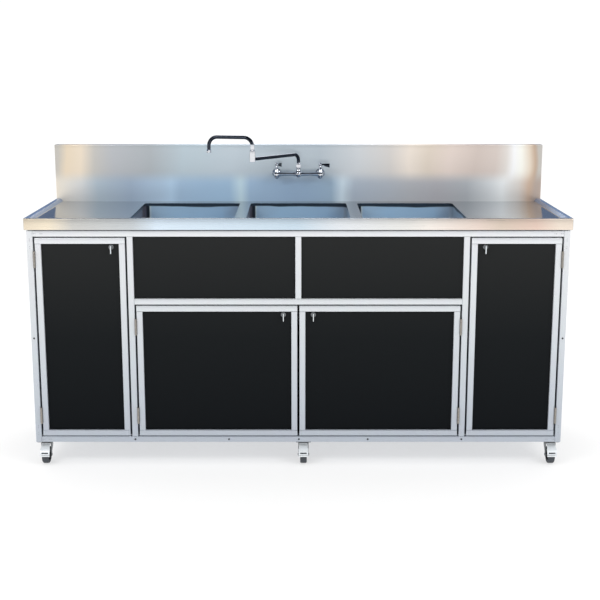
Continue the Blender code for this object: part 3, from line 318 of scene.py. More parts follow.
def stainless_bowl(shades):
    """Deep-drawn sheet, softer than the deck, with painted light: painted shade on the left wall and in the
    left corner, a painted highlight beside it, painted blue reflection on the back wall, and a painted shadow
    just under the deck.
    """
    made, tree, shader = principled("drawn stainless bowl", shades.stainless, 0.34, 0.6)
    place, _ = grain(tree, shader, (0.006, 0.006, 0.12), 0.10, 0.0004, (0.28, 0.40))
    axes = node(tree, "ShaderNodeSeparateXYZ", None, {"Vector": place.outputs["Object"]})
    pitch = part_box("bowl_right")[0].x - BOWL_LOW.x
    inside = node(tree, "ShaderNodeMath", {"operation": "SUBTRACT"}, {0: axes.outputs["X"], 1: BOWL_LOW.x})
    across = node(tree, "ShaderNodeMath", {"operation": "FLOORED_MODULO"},
                  {0: inside.outputs["Value"], 1: pitch})
    along = node(tree, "ShaderNodeMath", {"operation": "DIVIDE"}, {0: across.outputs["Value"], 1: pitch})
    # Painted light across each bowl from its left wall: painted shade, a painted highlight at the corner,
    # then painted blue reflection.
    painted_light = node(tree, "ShaderNodeValToRGB", {"stops": [
        (0.0, "#837c88"), (0.030, "#6c6975"), (0.045, "#292c33"), (0.066, "#2f353e"), (0.072, "#effafa"),
        (0.090, "#c6dff2"), (0.30, "#c4e3f9"), (0.75, "#bad8ef"), (0.90, "#adbfd0"), (1.0, "#8a99a7")]},
        {"Fac": along.outputs["Value"]})
    # Painted shadow: a dark, wavy band just under the deck's edge.
    waver = node(tree, "ShaderNodeTexNoise", None,
                 {"Vector": place.outputs["Object"], "Scale": 7.0, "Detail": 1.0})
    level = node(tree, "ShaderNodeMath", {"operation": "MULTIPLY_ADD"},
                 {0: waver.outputs["Fac"], 1: 0.016, 2: axes.outputs["Z"]})
    painted_band = node(tree, "ShaderNodeMapRange", {"interpolation_type": "SMOOTHSTEP"},
                {"Value": level.outputs["Value"],
                 "From Min": BOWL_HIGH.z - 0.010, "From Max": BOWL_HIGH.z - 0.004})
    both = node(tree, "ShaderNodeMix", {"data_type": "RGBA"},
                {"Factor": painted_band.outputs["Result"], 6: painted_light.outputs["Color"], 7: linear("#39444f", 1.0)})
    tree.links.new(both.outputs[2], shader.inputs["Base Color"])
    return made


def anodised_tube(shades):
    """Extruded aluminium with a satin clear anodise: pale, with painted shade making it a little darker
    towards the floor.
    """
    made, tree, shader = principled("satin anodised aluminium", linear("#d3d6d8"), 0.42, 0.5)
    place, noise = grain(tree, shader, (0.05, 0.05, 0.05), 0.03, 0.0005, (0.34, 0.40))
    painted_light = up_cabinet(tree, place, [(0.0, "#b3bac4"), (0.35, "#c6ccd2"), (0.7, "#d9dde0"), (1.0, "#e4e6e9")])
    cloud = node(tree, "ShaderNodeMix", {"data_type": "RGBA", "blend_type": "MULTIPLY"},
                 {"Factor": 0.05, 6: painted_light.outputs["Color"], 7: noise.outputs["Color"]})
    tree.links.new(cloud.outputs[2], shader.inputs["Base Color"])
    return made


def black_laminate(shades):
    """Black composite panel with a fine leathered face; painted light makes the top a little lighter and the
    foot darker.
    """
    made, tree, shader = principled("black composite panel", linear("#1d1f21"), 0.48, 0.0,
                                    Specular_IOR_Level=0.08)
    place, _ = grain(tree, shader, (0.004, 0.004, 0.004), 0.25, 0.0004, (0.42, 0.54))
    painted_light = up_cabinet(tree, place, [(0.0, "#070b0f"), (0.5, "#131618"), (1.0, "#242525")])
    tree.links.new(painted_light.outputs["Color"], shader.inputs["Base Color"])
    return made


def chrome_plate(shades):
    """Bright nickel-chrome plate on brass: a mirror, with the least waviness from polishing."""
    made, tree, shader = principled("polished chrome plate", shades.chrome, 0.05, 1.0)
    grain(tree, shader, (0.012, 0.012, 0.012), 0.05, 0.0006, (0.04, 0.08))
    return made


def chrome_tube(shades):
    """Thin bright plate on drawn tube, given a dark slate colour as a painted reflection: it mirrors darkly
    in the middle and brightly at the edges.
    """
    made, tree, shader = principled("drawn chrome tube", linear("#3a3f48"), 0.08, 1.0)
    grain(tree, shader, (0.012, 0.012, 0.012), 0.03, 0.0004, (0.06, 0.11))
    return made


def shaded_hinge(shades):
    """Zinc plate on the hinges, coloured dark as painted shade in the door gaps: mottled grey and brown."""
    made, tree, shader = principled("worn zinc plate", linear("#857f78"), 0.42, 0.7)
    grain(tree, shader, (0.003, 0.003, 0.007), 0.10, 0.0003, (0.34, 0.52),
          (linear("#3d3733"), linear("#cfc9c0")))
    return made


def zinc_plate(shades):
    """Bright zinc on pressed steel: grey-white with cloudy patches."""
    made, tree, shader = principled("bright zinc plate", shades.zinc, 0.38, 0.2)
    grain(tree, shader, (0.006, 0.006, 0.006), 0.06, 0.0003, (0.30, 0.44),
          (scaled(shades.zinc, 0.86), scaled(shades.zinc, 1.10)))
    return made


def dark_zinc(shades):
    """Zinc plate coloured dark slate, on the forks, the caster plates and the locks."""
    made, tree, shader = principled("dulled zinc plate", scaled(shades.zinc, 0.22), 0.34, 1.0)
    grain(tree, shader, (0.008, 0.008, 0.008), 0.08, 0.0003, (0.26, 0.44),
          (scaled(shades.zinc, 0.12), scaled(shades.zinc, 0.42)))
    return made


def copper_race(shades):
    """Coppered steel of the swivel race, dulled by handling."""
    made, tree, shader = principled("coppered race", linear("#c9775d"), 0.36, 0.2)
    grain(tree, shader, (0.005, 0.005, 0.005), 0.08, 0.0003, (0.26, 0.42),
          (linear("#b4634c"), linear("#e0967c")))
    return made


def grey_rubber(shades):
    """Moulded thermoplastic rubber: matt, with a fine eggshell surface."""
    made, tree, shader = principled("grey rubber tread", shades.tread, 0.62, 0.0)
    grain(tree, shader, (0.002, 0.002, 0.002), 0.20, 0.0003, (0.55, 0.72),
          (scaled(shades.tread, 0.85), scaled(shades.tread, 1.15)))
    return made


def black_oxide(shades):
    """Black oxide on the small screws."""
    made, tree, shader = principled("black oxide steel", linear("#101113"), 0.45, 0.0)
    grain(tree, shader, (0.002, 0.002, 0.002), 0.10, 0.0002, (0.34, 0.50))
    return made


def stake_shadow(shades):
    """Bare metal pressed in by the staking punch, coloured darker than the tube as painted shade in the
    dimple.
    """
    made, tree, shader = principled("staked aluminium", linear("#8f9498"), 0.5, 1.0)
    grain(tree, shader, (0.002, 0.002, 0.002), 0.2, 0.0002, (0.42, 0.60))
    return made


def waste_pipe(shades):
    """Extruded PVC: white, with the slight sheen of plastic."""
    made, tree, shader = principled("white PVC", shades.pipe, 0.42, 0.0)
    grain(tree, shader, (0.02, 0.02, 0.02), 0.05, 0.0003, (0.36, 0.48),
          (scaled(shades.pipe, 0.95), scaled(shades.pipe, 1.03)))
    return made


def tank_polyethylene(shades):
    """Blow-moulded polyethylene: milky, with uneven wall thickness showing as cloud."""
    made, tree, shader = principled("milky polyethylene", shades.tank, 0.46, 0.0, Subsurface_Weight=0.1)
    grain(tree, shader, (0.06, 0.06, 0.06), 0.12, 0.0010, (0.40, 0.54),
          (scaled(shades.tank, 0.88), scaled(shades.tank, 1.06)))
    return made


def black_moulding(shades):
    """Injection-moulded black nylon on the cap, the wheels' hubs, the heater's dial and the pump."""
    made, tree, shader = principled("black moulded nylon", linear("#1b1c1e"), 0.5, 0.0)
    grain(tree, shader, (0.0015, 0.0015, 0.0015), 0.2, 0.0003, (0.44, 0.60))
    return made


def vitreous_enamel(shades):
    """Baked white enamel with slight orange peel."""
    made, tree, shader = principled("baked white enamel", shades.enamel, 0.26, 0.0)
    grain(tree, shader, (0.004, 0.004, 0.004), 0.10, 0.0003, (0.22, 0.32),
          (scaled(shades.enamel, 0.97), scaled(shades.enamel, 1.02)))
    return made


def studio_floor(shades):
    """Pale paper sweep that grows as bright as the sky behind it, so no edge shows."""
    shade = bpy.context.scene.sink_studio.floor
    made, tree, shader = principled("studio floor", shade, 0.9, 0.0, Specular_IOR_Level=0.0)
    place, _ = grain(tree, shader, (0.5, 0.5, 0.5), 0.0, 0.001)
    # Painted light: the floor glows, at half the sky's white near the counter, which lightens the shadows on
    # it, and at the full white far off.
    reach = node(tree, "ShaderNodeVectorMath", {"operation": "LENGTH"}, {0: place.outputs["Object"]})
    far = node(tree, "ShaderNodeMapRange", {"interpolation_type": "SMOOTHSTEP"},
               {"Value": reach.outputs["Value"], "From Min": 2.0, "From Max": 9.0,
                "To Min": 0.5 * SKY, "To Max": SKY})
    share = node(tree, "ShaderNodeMath", {"operation": "DIVIDE"}, {0: far.outputs["Result"], 1: SKY})
    near = node(tree, "ShaderNodeMix", {"data_type": "RGBA"},
                {"Factor": share.outputs["Value"], 6: (*shade, 1.0), 7: (0, 0, 0, 1)})
    tree.links.new(near.outputs[2], shader.inputs["Base Color"])
    shader.inputs["Emission Color"].default_value = (1.0, 1.0, 1.0, 1.0)
    tree.links.new(far.outputs["Result"], shader.inputs["Emission Strength"])
    return made


FINISHES = {
    "brushed stainless deck": stainless_deck,
    "brushed stainless apron": stainless_apron,
    "brushed stainless rim": stainless_rim,
    "brushed stainless backsplash": stainless_splash,
    "drawn stainless bowl": stainless_bowl,
    "satin anodised aluminium": anodised_tube,
    "black composite panel": black_laminate,
    "polished chrome plate": chrome_plate,
    "drawn chrome tube": chrome_tube,
    "bright zinc plate": zinc_plate,
    "worn zinc plate": shaded_hinge,
    "dulled zinc plate": dark_zinc,
    "coppered race": copper_race,
    "grey rubber tread": grey_rubber,
    "black oxide steel": black_oxide,
    "staked aluminium": stake_shadow,
    "white PVC": waste_pipe,
    "milky polyethylene": tank_polyethylene,
    "black moulded nylon": black_moulding,
    "baked white enamel": vitreous_enamel,
    "studio floor": studio_floor,
}


# ---- modelling ------------------------------------------------------------------------
def activate(*pieces):
    """Selects only these pieces, in object mode, the first one active."""
    if bpy.context.object and bpy.context.object.mode != "OBJECT":
        bpy.ops.object.mode_set(mode="OBJECT")
    bpy.ops.object.select_all(action="DESELECT")
    for piece in pieces:
        piece.select_set(True)
    if pieces:
        bpy.context.view_layer.objects.active = pieces[0]


@contextmanager
def editing(piece, everything=False):
    """Edit mode on one piece, with nothing or everything selected."""
    activate(piece)
    bpy.ops.object.mode_set(mode="EDIT")
    bpy.ops.mesh.select_mode(type="VERT")
    bpy.ops.mesh.select_all(action="SELECT" if everything else "DESELECT")
    yield
    bpy.ops.object.mode_set(mode="OBJECT")


def pick(kind, test):
    """Selects the vertices, edges or faces of the edited piece that pass the test."""
    bpy.ops.mesh.select_mode(type=kind)
    bpy.ops.mesh.select_all(action="DESELECT")
    mesh = bpy.context.edit_object.data
    bm = bmesh.from_edit_mesh(mesh)
    chosen = {"VERT": bm.verts, "EDGE": bm.edges, "FACE": bm.faces}[kind]
    found = [item for item in chosen if test(item)]
    for item in found:
        item.select_set(True)
    bm.select_flush_mode()
    bmesh.update_edit_mesh(mesh)
    return len(found)


def middle(edge):
    """The middle point of an edge."""
    return (edge.verts[0].co + edge.verts[1].co) / 2


def runs(edge, axis):
    """Whether an edge runs along one axis."""
    along = edge.verts[1].co - edge.verts[0].co
    return abs(along["XYZ".index(axis)]) > 0.999 * along.length


def block(name, low, high):
    """A cuboid between two corners, as the start of a piece."""
    low, high = Vector(low), Vector(high)
    activate()
    bpy.ops.mesh.primitive_cube_add(size=1, location=(low + high) / 2, scale=high - low)
    piece = bpy.context.object
    piece.name = piece.data.name = name
    bpy.ops.object.transform_apply(location=True, rotation=True, scale=True)
    return piece


def modify(piece, kind, **settings):
    """Adds a modifier and applies it at once."""
    activate(piece)
    modifier = piece.modifiers.new(kind.lower(), kind)
    for name, value in settings.items():
        setattr(modifier, name, value)
    bpy.ops.object.modifier_apply(modifier=modifier.name)
    return piece


def soften(piece, width, segments=2, angle=40):
    """Rounds every edge sharper than an angle."""
    return modify(piece, "BEVEL", width=width, segments=segments, limit_method="ANGLE",
                  angle_limit=math.radians(angle), harden_normals=False)


def rounded_block(name, low, high, corner, segments=3):
    """A cuboid with every edge rounded."""
    return soften(block(name, low, high), corner, segments)


def carve(piece, *cutters):
    """Cuts the cutters out of a piece and removes them."""
    for cutter in cutters:
        modify(piece, "BOOLEAN", operation="DIFFERENCE", object=cutter, solver="EXACT")
        bpy.data.objects.remove(cutter)
    return piece


def joined(name, *pieces):
    """One piece made of several, under a new name."""
    activate(*pieces)
    if len(pieces) > 1:
        bpy.ops.object.join()
    piece = bpy.context.view_layer.objects.active
    piece.name = piece.data.name = name
    return piece


def copy_of(piece, name, shift):
    """A copy with its own mesh, moved by shift."""
    activate(piece)
    bpy.ops.object.duplicate(linked=False)
    copy = bpy.context.view_layer.objects.active
    copy.name = copy.data.name = name
    bpy.ops.transform.translate(value=shift)
    bpy.ops.object.transform_apply(location=True, rotation=True, scale=True)
    return copy


def placed(piece, matrix):
    """Bakes a matrix into a piece's mesh, so that its object stays at the origin."""
    piece.matrix_world = matrix
    activate(piece)
    bpy.ops.object.transform_apply(location=True, rotation=True, scale=True)
    return piece


def mirrored(profile):
    """A turned profile's points again, reflected and in the other order."""
    return [(radius, -height) for radius, height in reversed(profile)]


def lathe(name, profile, centre=(0, 0, 0), axis="Z", steps=32, ring=False):
    """A turned piece: a point is drawn along the profile (radius, height) and spun."""
    reach = {"X": Vector((0, 0, 1)), "Y": Vector((1, 0, 0)), "Z": Vector((1, 0, 0))}[axis]
    along = {"X": Vector((1, 0, 0)), "Y": Vector((0, 1, 0)), "Z": Vector((0, 0, 1))}[axis]
    points = [Vector(centre) + reach * radius + along * height for radius, height in profile]
    activate()
    bpy.ops.mesh.primitive_plane_add(size=0.001, location=points[0])
    piece = bpy.context.object
    piece.name = piece.data.name = name
    bpy.ops.object.transform_apply(location=True, rotation=True, scale=True)
    with editing(piece, everything=True):
        bpy.ops.mesh.merge(type="CENTER")
        for start, end in zip(points, points[1:]):
            bpy.ops.mesh.extrude_vertices_move(TRANSFORM_OT_translate={"value": end - start})
        bpy.ops.mesh.select_all(action="SELECT")
        if ring:
            bpy.ops.mesh.select_all(action="DESELECT")
            pick("VERT", lambda v: min((v.co - points[0]).length, (v.co - points[-1]).length) < 1e-6)
            bpy.ops.mesh.edge_face_add()
            bpy.ops.mesh.select_all(action="SELECT")
        bpy.ops.mesh.spin(steps=steps, angle=math.tau, center=centre, axis=along)
        bpy.ops.mesh.select_all(action="SELECT")
        bpy.ops.mesh.remove_doubles(threshold=1e-5)
        bpy.ops.mesh.normals_make_consistent(inside=False)
    return piece


def rod(name, radius, start, end, centre, axis="Z", steps=32):
    """A plain bar along an axis, between two heights: round, or six-sided with six steps."""
    return lathe(name, [(0, start), (radius, start), (radius, end), (0, end)], centre, axis, steps)


def bent_bar(name, section, start, heading, moves, sides=20):
    """A tube (radius) or strip (width, thickness) drawn along straight lengths and bends.

    A move is a length, or (radius, towards, angle) for a bend towards a side.
    """
    start, heading = Vector(start), Vector(heading).normalized()
    turn = Vector((0, 0, 1)).rotation_difference(heading).to_euler()
    activate()
    if isinstance(section, tuple):
        bpy.ops.mesh.primitive_plane_add(size=1)
        bpy.ops.transform.resize(value=(section[0], section[1], 1))
        bpy.ops.object.transform_apply(location=True, rotation=True, scale=True)
        bpy.context.object.rotation_euler = turn
        bpy.context.object.location = start
    else:
        bpy.ops.mesh.primitive_circle_add(vertices=sides, radius=section, fill_type="NGON",
                                          location=start, rotation=turn)
    piece = bpy.context.object
    piece.name = piece.data.name = name
    bpy.ops.object.transform_apply(location=True, rotation=True, scale=True)
    spot = start.copy()
    with editing(piece, everything=True):
        for move in moves:
            if isinstance(move, tuple):
                bend, towards, angle = move
                towards = Vector(towards).normalized()
                pivot = spot + towards * bend
                axis = heading.cross(towards).normalized()
                bpy.ops.mesh.spin(steps=max(4, round(math.degrees(angle) / 9)), angle=angle,
                                  center=pivot, axis=-axis)
                turned = Matrix.Rotation(angle, 3, axis)
                spot = pivot + turned @ (spot - pivot)
                heading = (turned @ heading).normalized()
            else:
                bpy.ops.mesh.extrude_region_move(TRANSFORM_OT_translate={"value": heading * move})
                spot = spot + heading * move
        bpy.ops.mesh.select_all(action="SELECT")
        bpy.ops.mesh.remove_doubles(threshold=1e-5)
        bpy.ops.mesh.normals_make_consistent(inside=False)
    return piece


def finished(piece, body, slot, coat, *nodes, angle=35):
    """Gives a piece its finish, smooth shading and its body, and hides the CAD nodes that it stands for."""
    piece.data.materials.clear()
    piece.data.materials.append(finish(coat))
    activate(piece)
    bpy.ops.object.shade_smooth_by_angle(angle=math.radians(angle))
    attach(piece, body)
    if nodes:
        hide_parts(*nodes)
    return piece


def coat_faces(piece, coat, test):
    """Gives the faces that pass the test another finish, in a slot of its own."""
    piece.data.materials.append(finish(coat))
    with editing(piece):
        pick("FACE", test)
        piece.active_material_index = len(piece.data.materials) - 1
        bpy.ops.object.material_slot_assign()


def recoated(node_name, coat):
    """A CAD node that keeps its shape and gets its finish."""
    mesh = frame["nodes"][node_name].data
    mesh.materials.clear()
    mesh.materials.append(finish(coat))


# ---- sink top -------------------------------------------------------------------------
def bowl_inside(name, flange):
    """The inner walls' corners of one bowl."""
    low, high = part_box(name)
    return (Vector((low.x + flange, low.y + flange, low.z + SHEET)),
            Vector((high.x - flange, high.y - flange, high.z)))


def deck_sheet(top, bowls):
    """Deck, raised edge and apron: one sheet, folded outwards from the deck."""
    inset = top.rim_flat + top.rim_slope
    splash = TOP_HIGH.y - top.splash_return
    low = Vector((TOP_LOW.x + inset, TOP_LOW.y + inset, DECK))
    high = Vector((TOP_HIGH.x - inset, splash, DECK))
    activate()
    bpy.ops.mesh.primitive_plane_add(size=1, location=(low + high) / 2)
    deck = bpy.context.object
    deck.name = deck.data.name = "deck"
    bpy.ops.transform.resize(value=(high.x - low.x, high.y - low.y, 1))
    bpy.ops.object.transform_apply(location=True, rotation=True, scale=True)
    hang = top.mouth_overhang
    mouths = []
    for place in BOWLS:
        inner_low, inner_high = bowl_inside(f"bowl_{place}", bowls.flange)
        mouths.append((inner_low.x + hang, inner_low.y + hang, inner_high.x - hang, inner_high.y - hang))
    with editing(deck):
        cuts = [((x, 0, DECK), (1, 0, 0)) for mouth in mouths for x in (mouth[0], mouth[2])]
        cuts += [((0, y, DECK), (0, 1, 0)) for y in (mouths[0][1], mouths[0][3])]
        for point, normal in cuts:
            bpy.ops.mesh.select_all(action="SELECT")
            bpy.ops.mesh.bisect(plane_co=point, plane_no=normal)
        for mouth in mouths:
            corners = [Vector((x, y, DECK)) for x in (mouth[0], mouth[2]) for y in (mouth[1], mouth[3])]
            pick("VERT", lambda v: min((v.co - corner).length for corner in corners) < 1e-5)
            bpy.ops.mesh.bevel(offset=bowls.corner - hang, segments=6, affect="VERTICES")
            centre = Vector(((mouth[0] + mouth[2]) / 2, (mouth[1] + mouth[3]) / 2, DECK))
            pick("FACE", lambda f: (f.calc_center_median() - centre).length < 0.02)
            bpy.ops.mesh.delete(type="FACE")
        pick("EDGE", lambda e: e.is_boundary and (
            min(abs(middle(e).x - low.x), abs(middle(e).x - high.x), abs(middle(e).y - low.y)) < 1e-5))
        still = {"value": (0, 0, 0)}
        fold = Vector((0, splash, 0))
        across, deep = high.x, splash - low.y
        steps = [(top.rim_slope, top.rim_rise), (top.rim_flat, 0.0), (0.0, -top.apron), (-top.hem, 0.0)]
        for out, rise in steps:
            bpy.ops.mesh.extrude_edges_move(TRANSFORM_OT_translate=still)
            bpy.ops.transform.translate(value=(0, 0, rise))
            bpy.ops.transform.resize(value=((across + out) / across, (deep + out) / deep, 1),
                                     center_override=fold)
            across, deep = across + out, deep + out
        pick("EDGE", lambda e: not e.is_boundary and len(e.link_faces) == 2
             and e.calc_face_angle(0) > math.radians(20))
        bpy.ops.mesh.bevel(offset=top.fold, segments=3, affect="EDGES")
        bpy.ops.mesh.select_all(action="SELECT")
        bpy.ops.mesh.normals_make_consistent(inside=False)
        if pick("FACE", lambda f: abs(f.calc_center_median().z - DECK) < 1e-4 and f.normal.z < -0.9):
            bpy.ops.mesh.select_all(action="SELECT")
            bpy.ops.mesh.flip_normals()
    modify(deck, "SOLIDIFY", thickness=SHEET, offset=-1.0)
    soften(deck, 0.0004, 1, 60)
    return deck


def splash_sheet(top):
    """Backsplash: face, top return, flange behind and closed ends, folded from one box."""
    splash = TOP_HIGH.y - top.splash_return
    low = (TOP_LOW.x, splash, TOP_LOW.z + 0.004)
    piece = block("backsplash", low, TOP_HIGH)
    flange = TOP_HIGH.z - top.splash_flange
    with editing(piece, everything=True):
        bpy.ops.mesh.bisect(plane_co=(0, 0, flange), plane_no=(0, 0, 1))
        pick("FACE", lambda f: f.normal.z < -0.9 or (f.normal.y > 0.9 and f.calc_center_median().z < flange))
        bpy.ops.mesh.delete(type="FACE")
        pick("EDGE", lambda e: len(e.link_faces) == 2 and e.calc_face_angle(0) > 1.0)
        bpy.ops.mesh.bevel(offset=top.fold, segments=4, affect="EDGES")
    modify(piece, "SOLIDIFY", thickness=SHEET, offset=-1.0)
    return soften(piece, 0.0004, 1, 60)


class SINK_OT_top(bpy.types.Operator):
    """Folds the deck, its raised edge and apron, and the backsplash."""
    bl_idname = "sink.build_top"
    bl_label = "Sink top"

    def execute(self, context):
        top, bowls = context.scene.sink_top, context.scene.sink_bowls
        deck = deck_sheet(top, bowls)
        finished(deck, "cabinet", "stainless", "brushed stainless deck", "sink_top", angle=30)
        coat_faces(deck, "brushed stainless apron",
                   lambda f: (f.normal.y < -0.9 and f.calc_center_median().y < TOP_LOW.y + 0.001)
                   or (abs(f.normal.x) > 0.9 and abs(f.calc_center_median().x) > TOP_HIGH.x - 0.001))
        edge = TOP_HIGH.x - top.rim_flat - 0.8 * top.rim_slope
        coat_faces(deck, "brushed stainless rim",
                   lambda f: f.normal.z > 0.3 and abs(f.calc_center_median().x) > edge)
        splash = splash_sheet(top)
        finished(splash, "cabinet", "stainless", "brushed stainless backsplash", "sink_top", angle=30)
        return {"FINISHED"}


class SINK_OT_bowls(bpy.types.Operator):
    """Draws the three bowls with round corners, falling floors and drain holes."""
    bl_idname = "sink.build_bowls"
    bl_label = "Bowls"

    def execute(self, context):
        sizes = context.scene.sink_bowls
        low, high = bowl_inside("bowl_centre", sizes.flange)
        centre = (low + high) / 2
        across, deep = high.x - low.x, high.y - low.y
        floor = low.z + sizes.floor_fall
        bowl = block("bowl_shell_centre", (low.x, low.y, floor), high)
        with editing(bowl):
            pick("FACE", lambda f: f.normal.z > 0.9)
            bpy.ops.mesh.delete(type="FACE")
            pick("EDGE", lambda e: runs(e, "Z"))
            bpy.ops.mesh.bevel(offset=sizes.corner, segments=6, affect="EDGES")
            pick("EDGE", lambda e: abs(middle(e).z - floor) < 1e-5)
            bpy.ops.mesh.bevel(offset=sizes.floor_radius, segments=5, affect="EDGES")
            pick("FACE", lambda f: f.normal.z < -0.99 and f.calc_area() > 0.05)
            bpy.ops.mesh.extrude_region_move(TRANSFORM_OT_translate={"value": (0, 0, 0)})
            dish = 1.8 * sizes.drain_hole / (across - 2 * sizes.floor_radius)
            bpy.ops.transform.resize(value=(dish, dish, 1), center_override=centre)
            bpy.ops.transform.translate(value=(0, 0, -sizes.floor_fall))
            pick("EDGE", lambda e: e.is_boundary)
            bpy.ops.mesh.extrude_edges_move(TRANSFORM_OT_translate={"value": (0, 0, 0)})
            bpy.ops.transform.resize(value=(1 + 2 * sizes.flange / across, 1 + 2 * sizes.flange / deep, 1),
                                     center_override=centre)
        modify(bowl, "SOLIDIFY", thickness=SHEET, offset=1.0)
        drain = (centre.x, centre.y, low.z)
        carve(bowl, rod("drain_cutter", sizes.drain_hole / 2, 0.02, -0.02, drain, steps=40))
        soften(bowl, 0.0004, 1, 60)
        for place in ("left", "right"):
            other, _ = bowl_inside(f"bowl_{place}", sizes.flange)
            copy = copy_of(bowl, f"bowl_shell_{place}", (other.x - low.x, 0, 0))
            finished(copy, "cabinet", "stainless", "drawn stainless bowl", f"bowl_{place}")
        finished(bowl, "cabinet", "stainless", "drawn stainless bowl", "bowl_centre")
        return {"FINISHED"}


# ---- cabinet --------------------------------------------------------------------------
def square_tube(low, high, axis, corner):
    """One length of square tube with rounded long edges."""
    tube = block("tube", low, high)
    with editing(tube):
        pick("EDGE", lambda e: runs(e, axis))
        bpy.ops.mesh.bevel(offset=corner, segments=4, affect="EDGES")
    return tube


def tube_frame(name, low, high, corner, seam):
    """Two rails across the whole width with stiles between them."""
    foot, head = low.z + TUBE, high.z - TUBE
    bars = [square_tube(low, (high.x, high.y, foot), "X", corner),
            square_tube((low.x, low.y, head), high, "X", corner)]
    bars += [square_tube((x, low.y, foot + seam), (x + TUBE, high.y, head - seam), "Z", corner)
             for x in (low.x, high.x - TUBE)]
    return joined(name, *bars)


class SINK_OT_frame(bpy.types.Operator):
    """Sets up the front and rear tubes of the cabinet."""
    bl_idname = "sink.build_frame"
    bl_label = "Cabinet frame"

    def execute(self, context):
        cabinet = context.scene.sink_cabinet
        corner, seam = cabinet.corner, cabinet.seam
        near, far = FRAME_LOW.y, FRAME_LOW.y + TUBE
        rear = REAR_BACK
        rear_end = rear - TUBE - seam
        low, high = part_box("floor_panel")[0].z - TOUCH - TUBE, FRAME_HIGH.z
        foot, head = low + TUBE, high - TUBE
        half = FRAME_HIGH.x
        rail_end = half - TUBE - seam
        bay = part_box("fascia_right")[1].x + TOUCH
        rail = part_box("fascia_right")[0].z - TOUCH
        front_bars, rear_bars = [], []
        for side in (-1, 1):
            outer = sorted((side * half, side * (half - TUBE)))
            inner = sorted((side * bay, side * (bay + TUBE)))
            front_bars += [
                square_tube((outer[0], near, low), (outer[1], far, high), "Z", corner),
                square_tube((inner[0], near, foot + seam), (inner[1], far, head - seam), "Z", corner)]
            rear_bars.append(square_tube((outer[0], rear - TUBE, low), (outer[1], rear, high), "Z", corner))
            rear_bars += [square_tube((outer[0], far + TOUCH, level), (outer[1], rear_end, level + TUBE),
                                      "Y", corner) for level in (low, head)]
        front_bars += [
            square_tube((-rail_end, near, head), (rail_end, far, high), "X", corner),
            square_tube((-rail_end, near, low), (rail_end, far, foot), "X", corner),
            square_tube((seam - bay, near, rail - TUBE), (bay - seam, far, rail), "X", corner),
            square_tube((-TUBE / 2, near, rail + seam), (TUBE / 2, far, head - seam), "Z", corner)]
        rear_bars += [square_tube((-rail_end, rear - TUBE, level), (rail_end, rear, level + TUBE),
                                  "X", corner) for level in (low, head)]
        rear_bars += [square_tube((x - TUBE / 2, far + TOUCH, low), (x + TUBE / 2, rear_end, foot),
                                  "Y", corner) for x in (-bay - TUBE / 2, 0, bay + TUBE / 2)]
        finished(joined("front_tubes", *front_bars), "cabinet", "satin_aluminium",
                 "satin anodised aluminium", "front_frame")
        finished(joined("rear_tubes", *rear_bars), "cabinet", "satin_aluminium",
                 "satin anodised aluminium", "rear_frame")
        for name in ("fascia_left", "fascia_right", "back_panel", "side_panel_left", "side_panel_right"):
            recoated(name, "black composite panel")
        recoated("floor_panel", "satin anodised aluminium")
        return {"FINISHED"}


class SINK_OT_doors(bpy.types.Operator):
    """Builds the four door frames and coats their panels."""
    bl_idname = "sink.build_doors"
    bl_label = "Doors"

    def execute(self, context):
        cabinet = context.scene.sink_cabinet
        for door in DOORS:
            low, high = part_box(f"door_frame_{door}")
            piece = tube_frame(f"door_tubes_{door}", low, high, cabinet.corner, cabinet.seam)
            finished(piece, f"{door}_door", "satin_aluminium", "satin anodised aluminium",
                     f"door_frame_{door}")
            recoated(f"door_panel_{door}", "black composite panel")
        return {"FINISHED"}


# ---- hinges, locks and small fasteners --------------------------------------------------
def hinge_knuckles(axis, radius, low, high, count):
    """The fixed and the moving knuckles of one barrel between two levels, with eased ends."""
    pitch = (high - low) / count
    line, ease = 0.0003, 0.0004
    turns = [[], []]
    for i in range(count):
        base = low + i * pitch + line / 2
        top = base + pitch - line
        turns[i % 2].append(lathe("knuckle", [
            (0, base), (radius - ease, base), (radius, base + ease), (radius, top - ease),
            (radius - ease, top), (0, top)], (axis.x, axis.y, 0), steps=20))
    return turns


def hinge_leaf(edge, away, front, low, high):
    """A thin plate that stands against an edge, back to the rear of the tube."""
    thick, short = 0.0014, 0.0015
    near, far = sorted((edge, edge + away * thick))
    back = FRAME_LOW.y + TUBE
    return rounded_block("leaf", (near, front, low + short), (far, back, high - short), 0.0004, 2)


class SINK_OT_hinges(bpy.types.Operator):
    """Builds the eight butt hinges: fixed knuckles and leaf, moving knuckles and leaf."""
    bl_idname = "sink.build_hinges"
    bl_label = "Hinges"

    def execute(self, context):
        count = context.scene.sink_cabinet.knuckles
        for door in DOORS:
            axis = Vector(JOINTS[f"{door}_door_hinge"]["pos_m"])
            door_low, door_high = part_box(f"door_frame_{door}")
            side = 1 if axis.x > door_low.x + TUBE else -1
            door_edge = door_high.x if side > 0 else door_low.x
            for level in ("upper", "lower"):
                node_name = f"hinge_{door}_{level}"
                low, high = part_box(node_name)
                radius = axis.y - low.y
                fixed, moving = hinge_knuckles(axis, radius, low.z, high.z, count)
                post_edge = high.x if side > 0 else low.x
                fixed.append(hinge_leaf(post_edge, -side, axis.y, low.z, high.z))
                moving.append(hinge_leaf(door_edge + side * TOUCH, side, axis.y + 0.6 * radius,
                                         low.z, high.z))
                finished(joined(f"hinge_fixed_{door}_{level}", *fixed), "cabinet", "zinc_plate",
                         "worn zinc plate", node_name)
                finished(joined(f"hinge_moving_{door}_{level}", *moving), f"{door}_door", "zinc_plate",
                         "worn zinc plate")
        return {"FINISHED"}


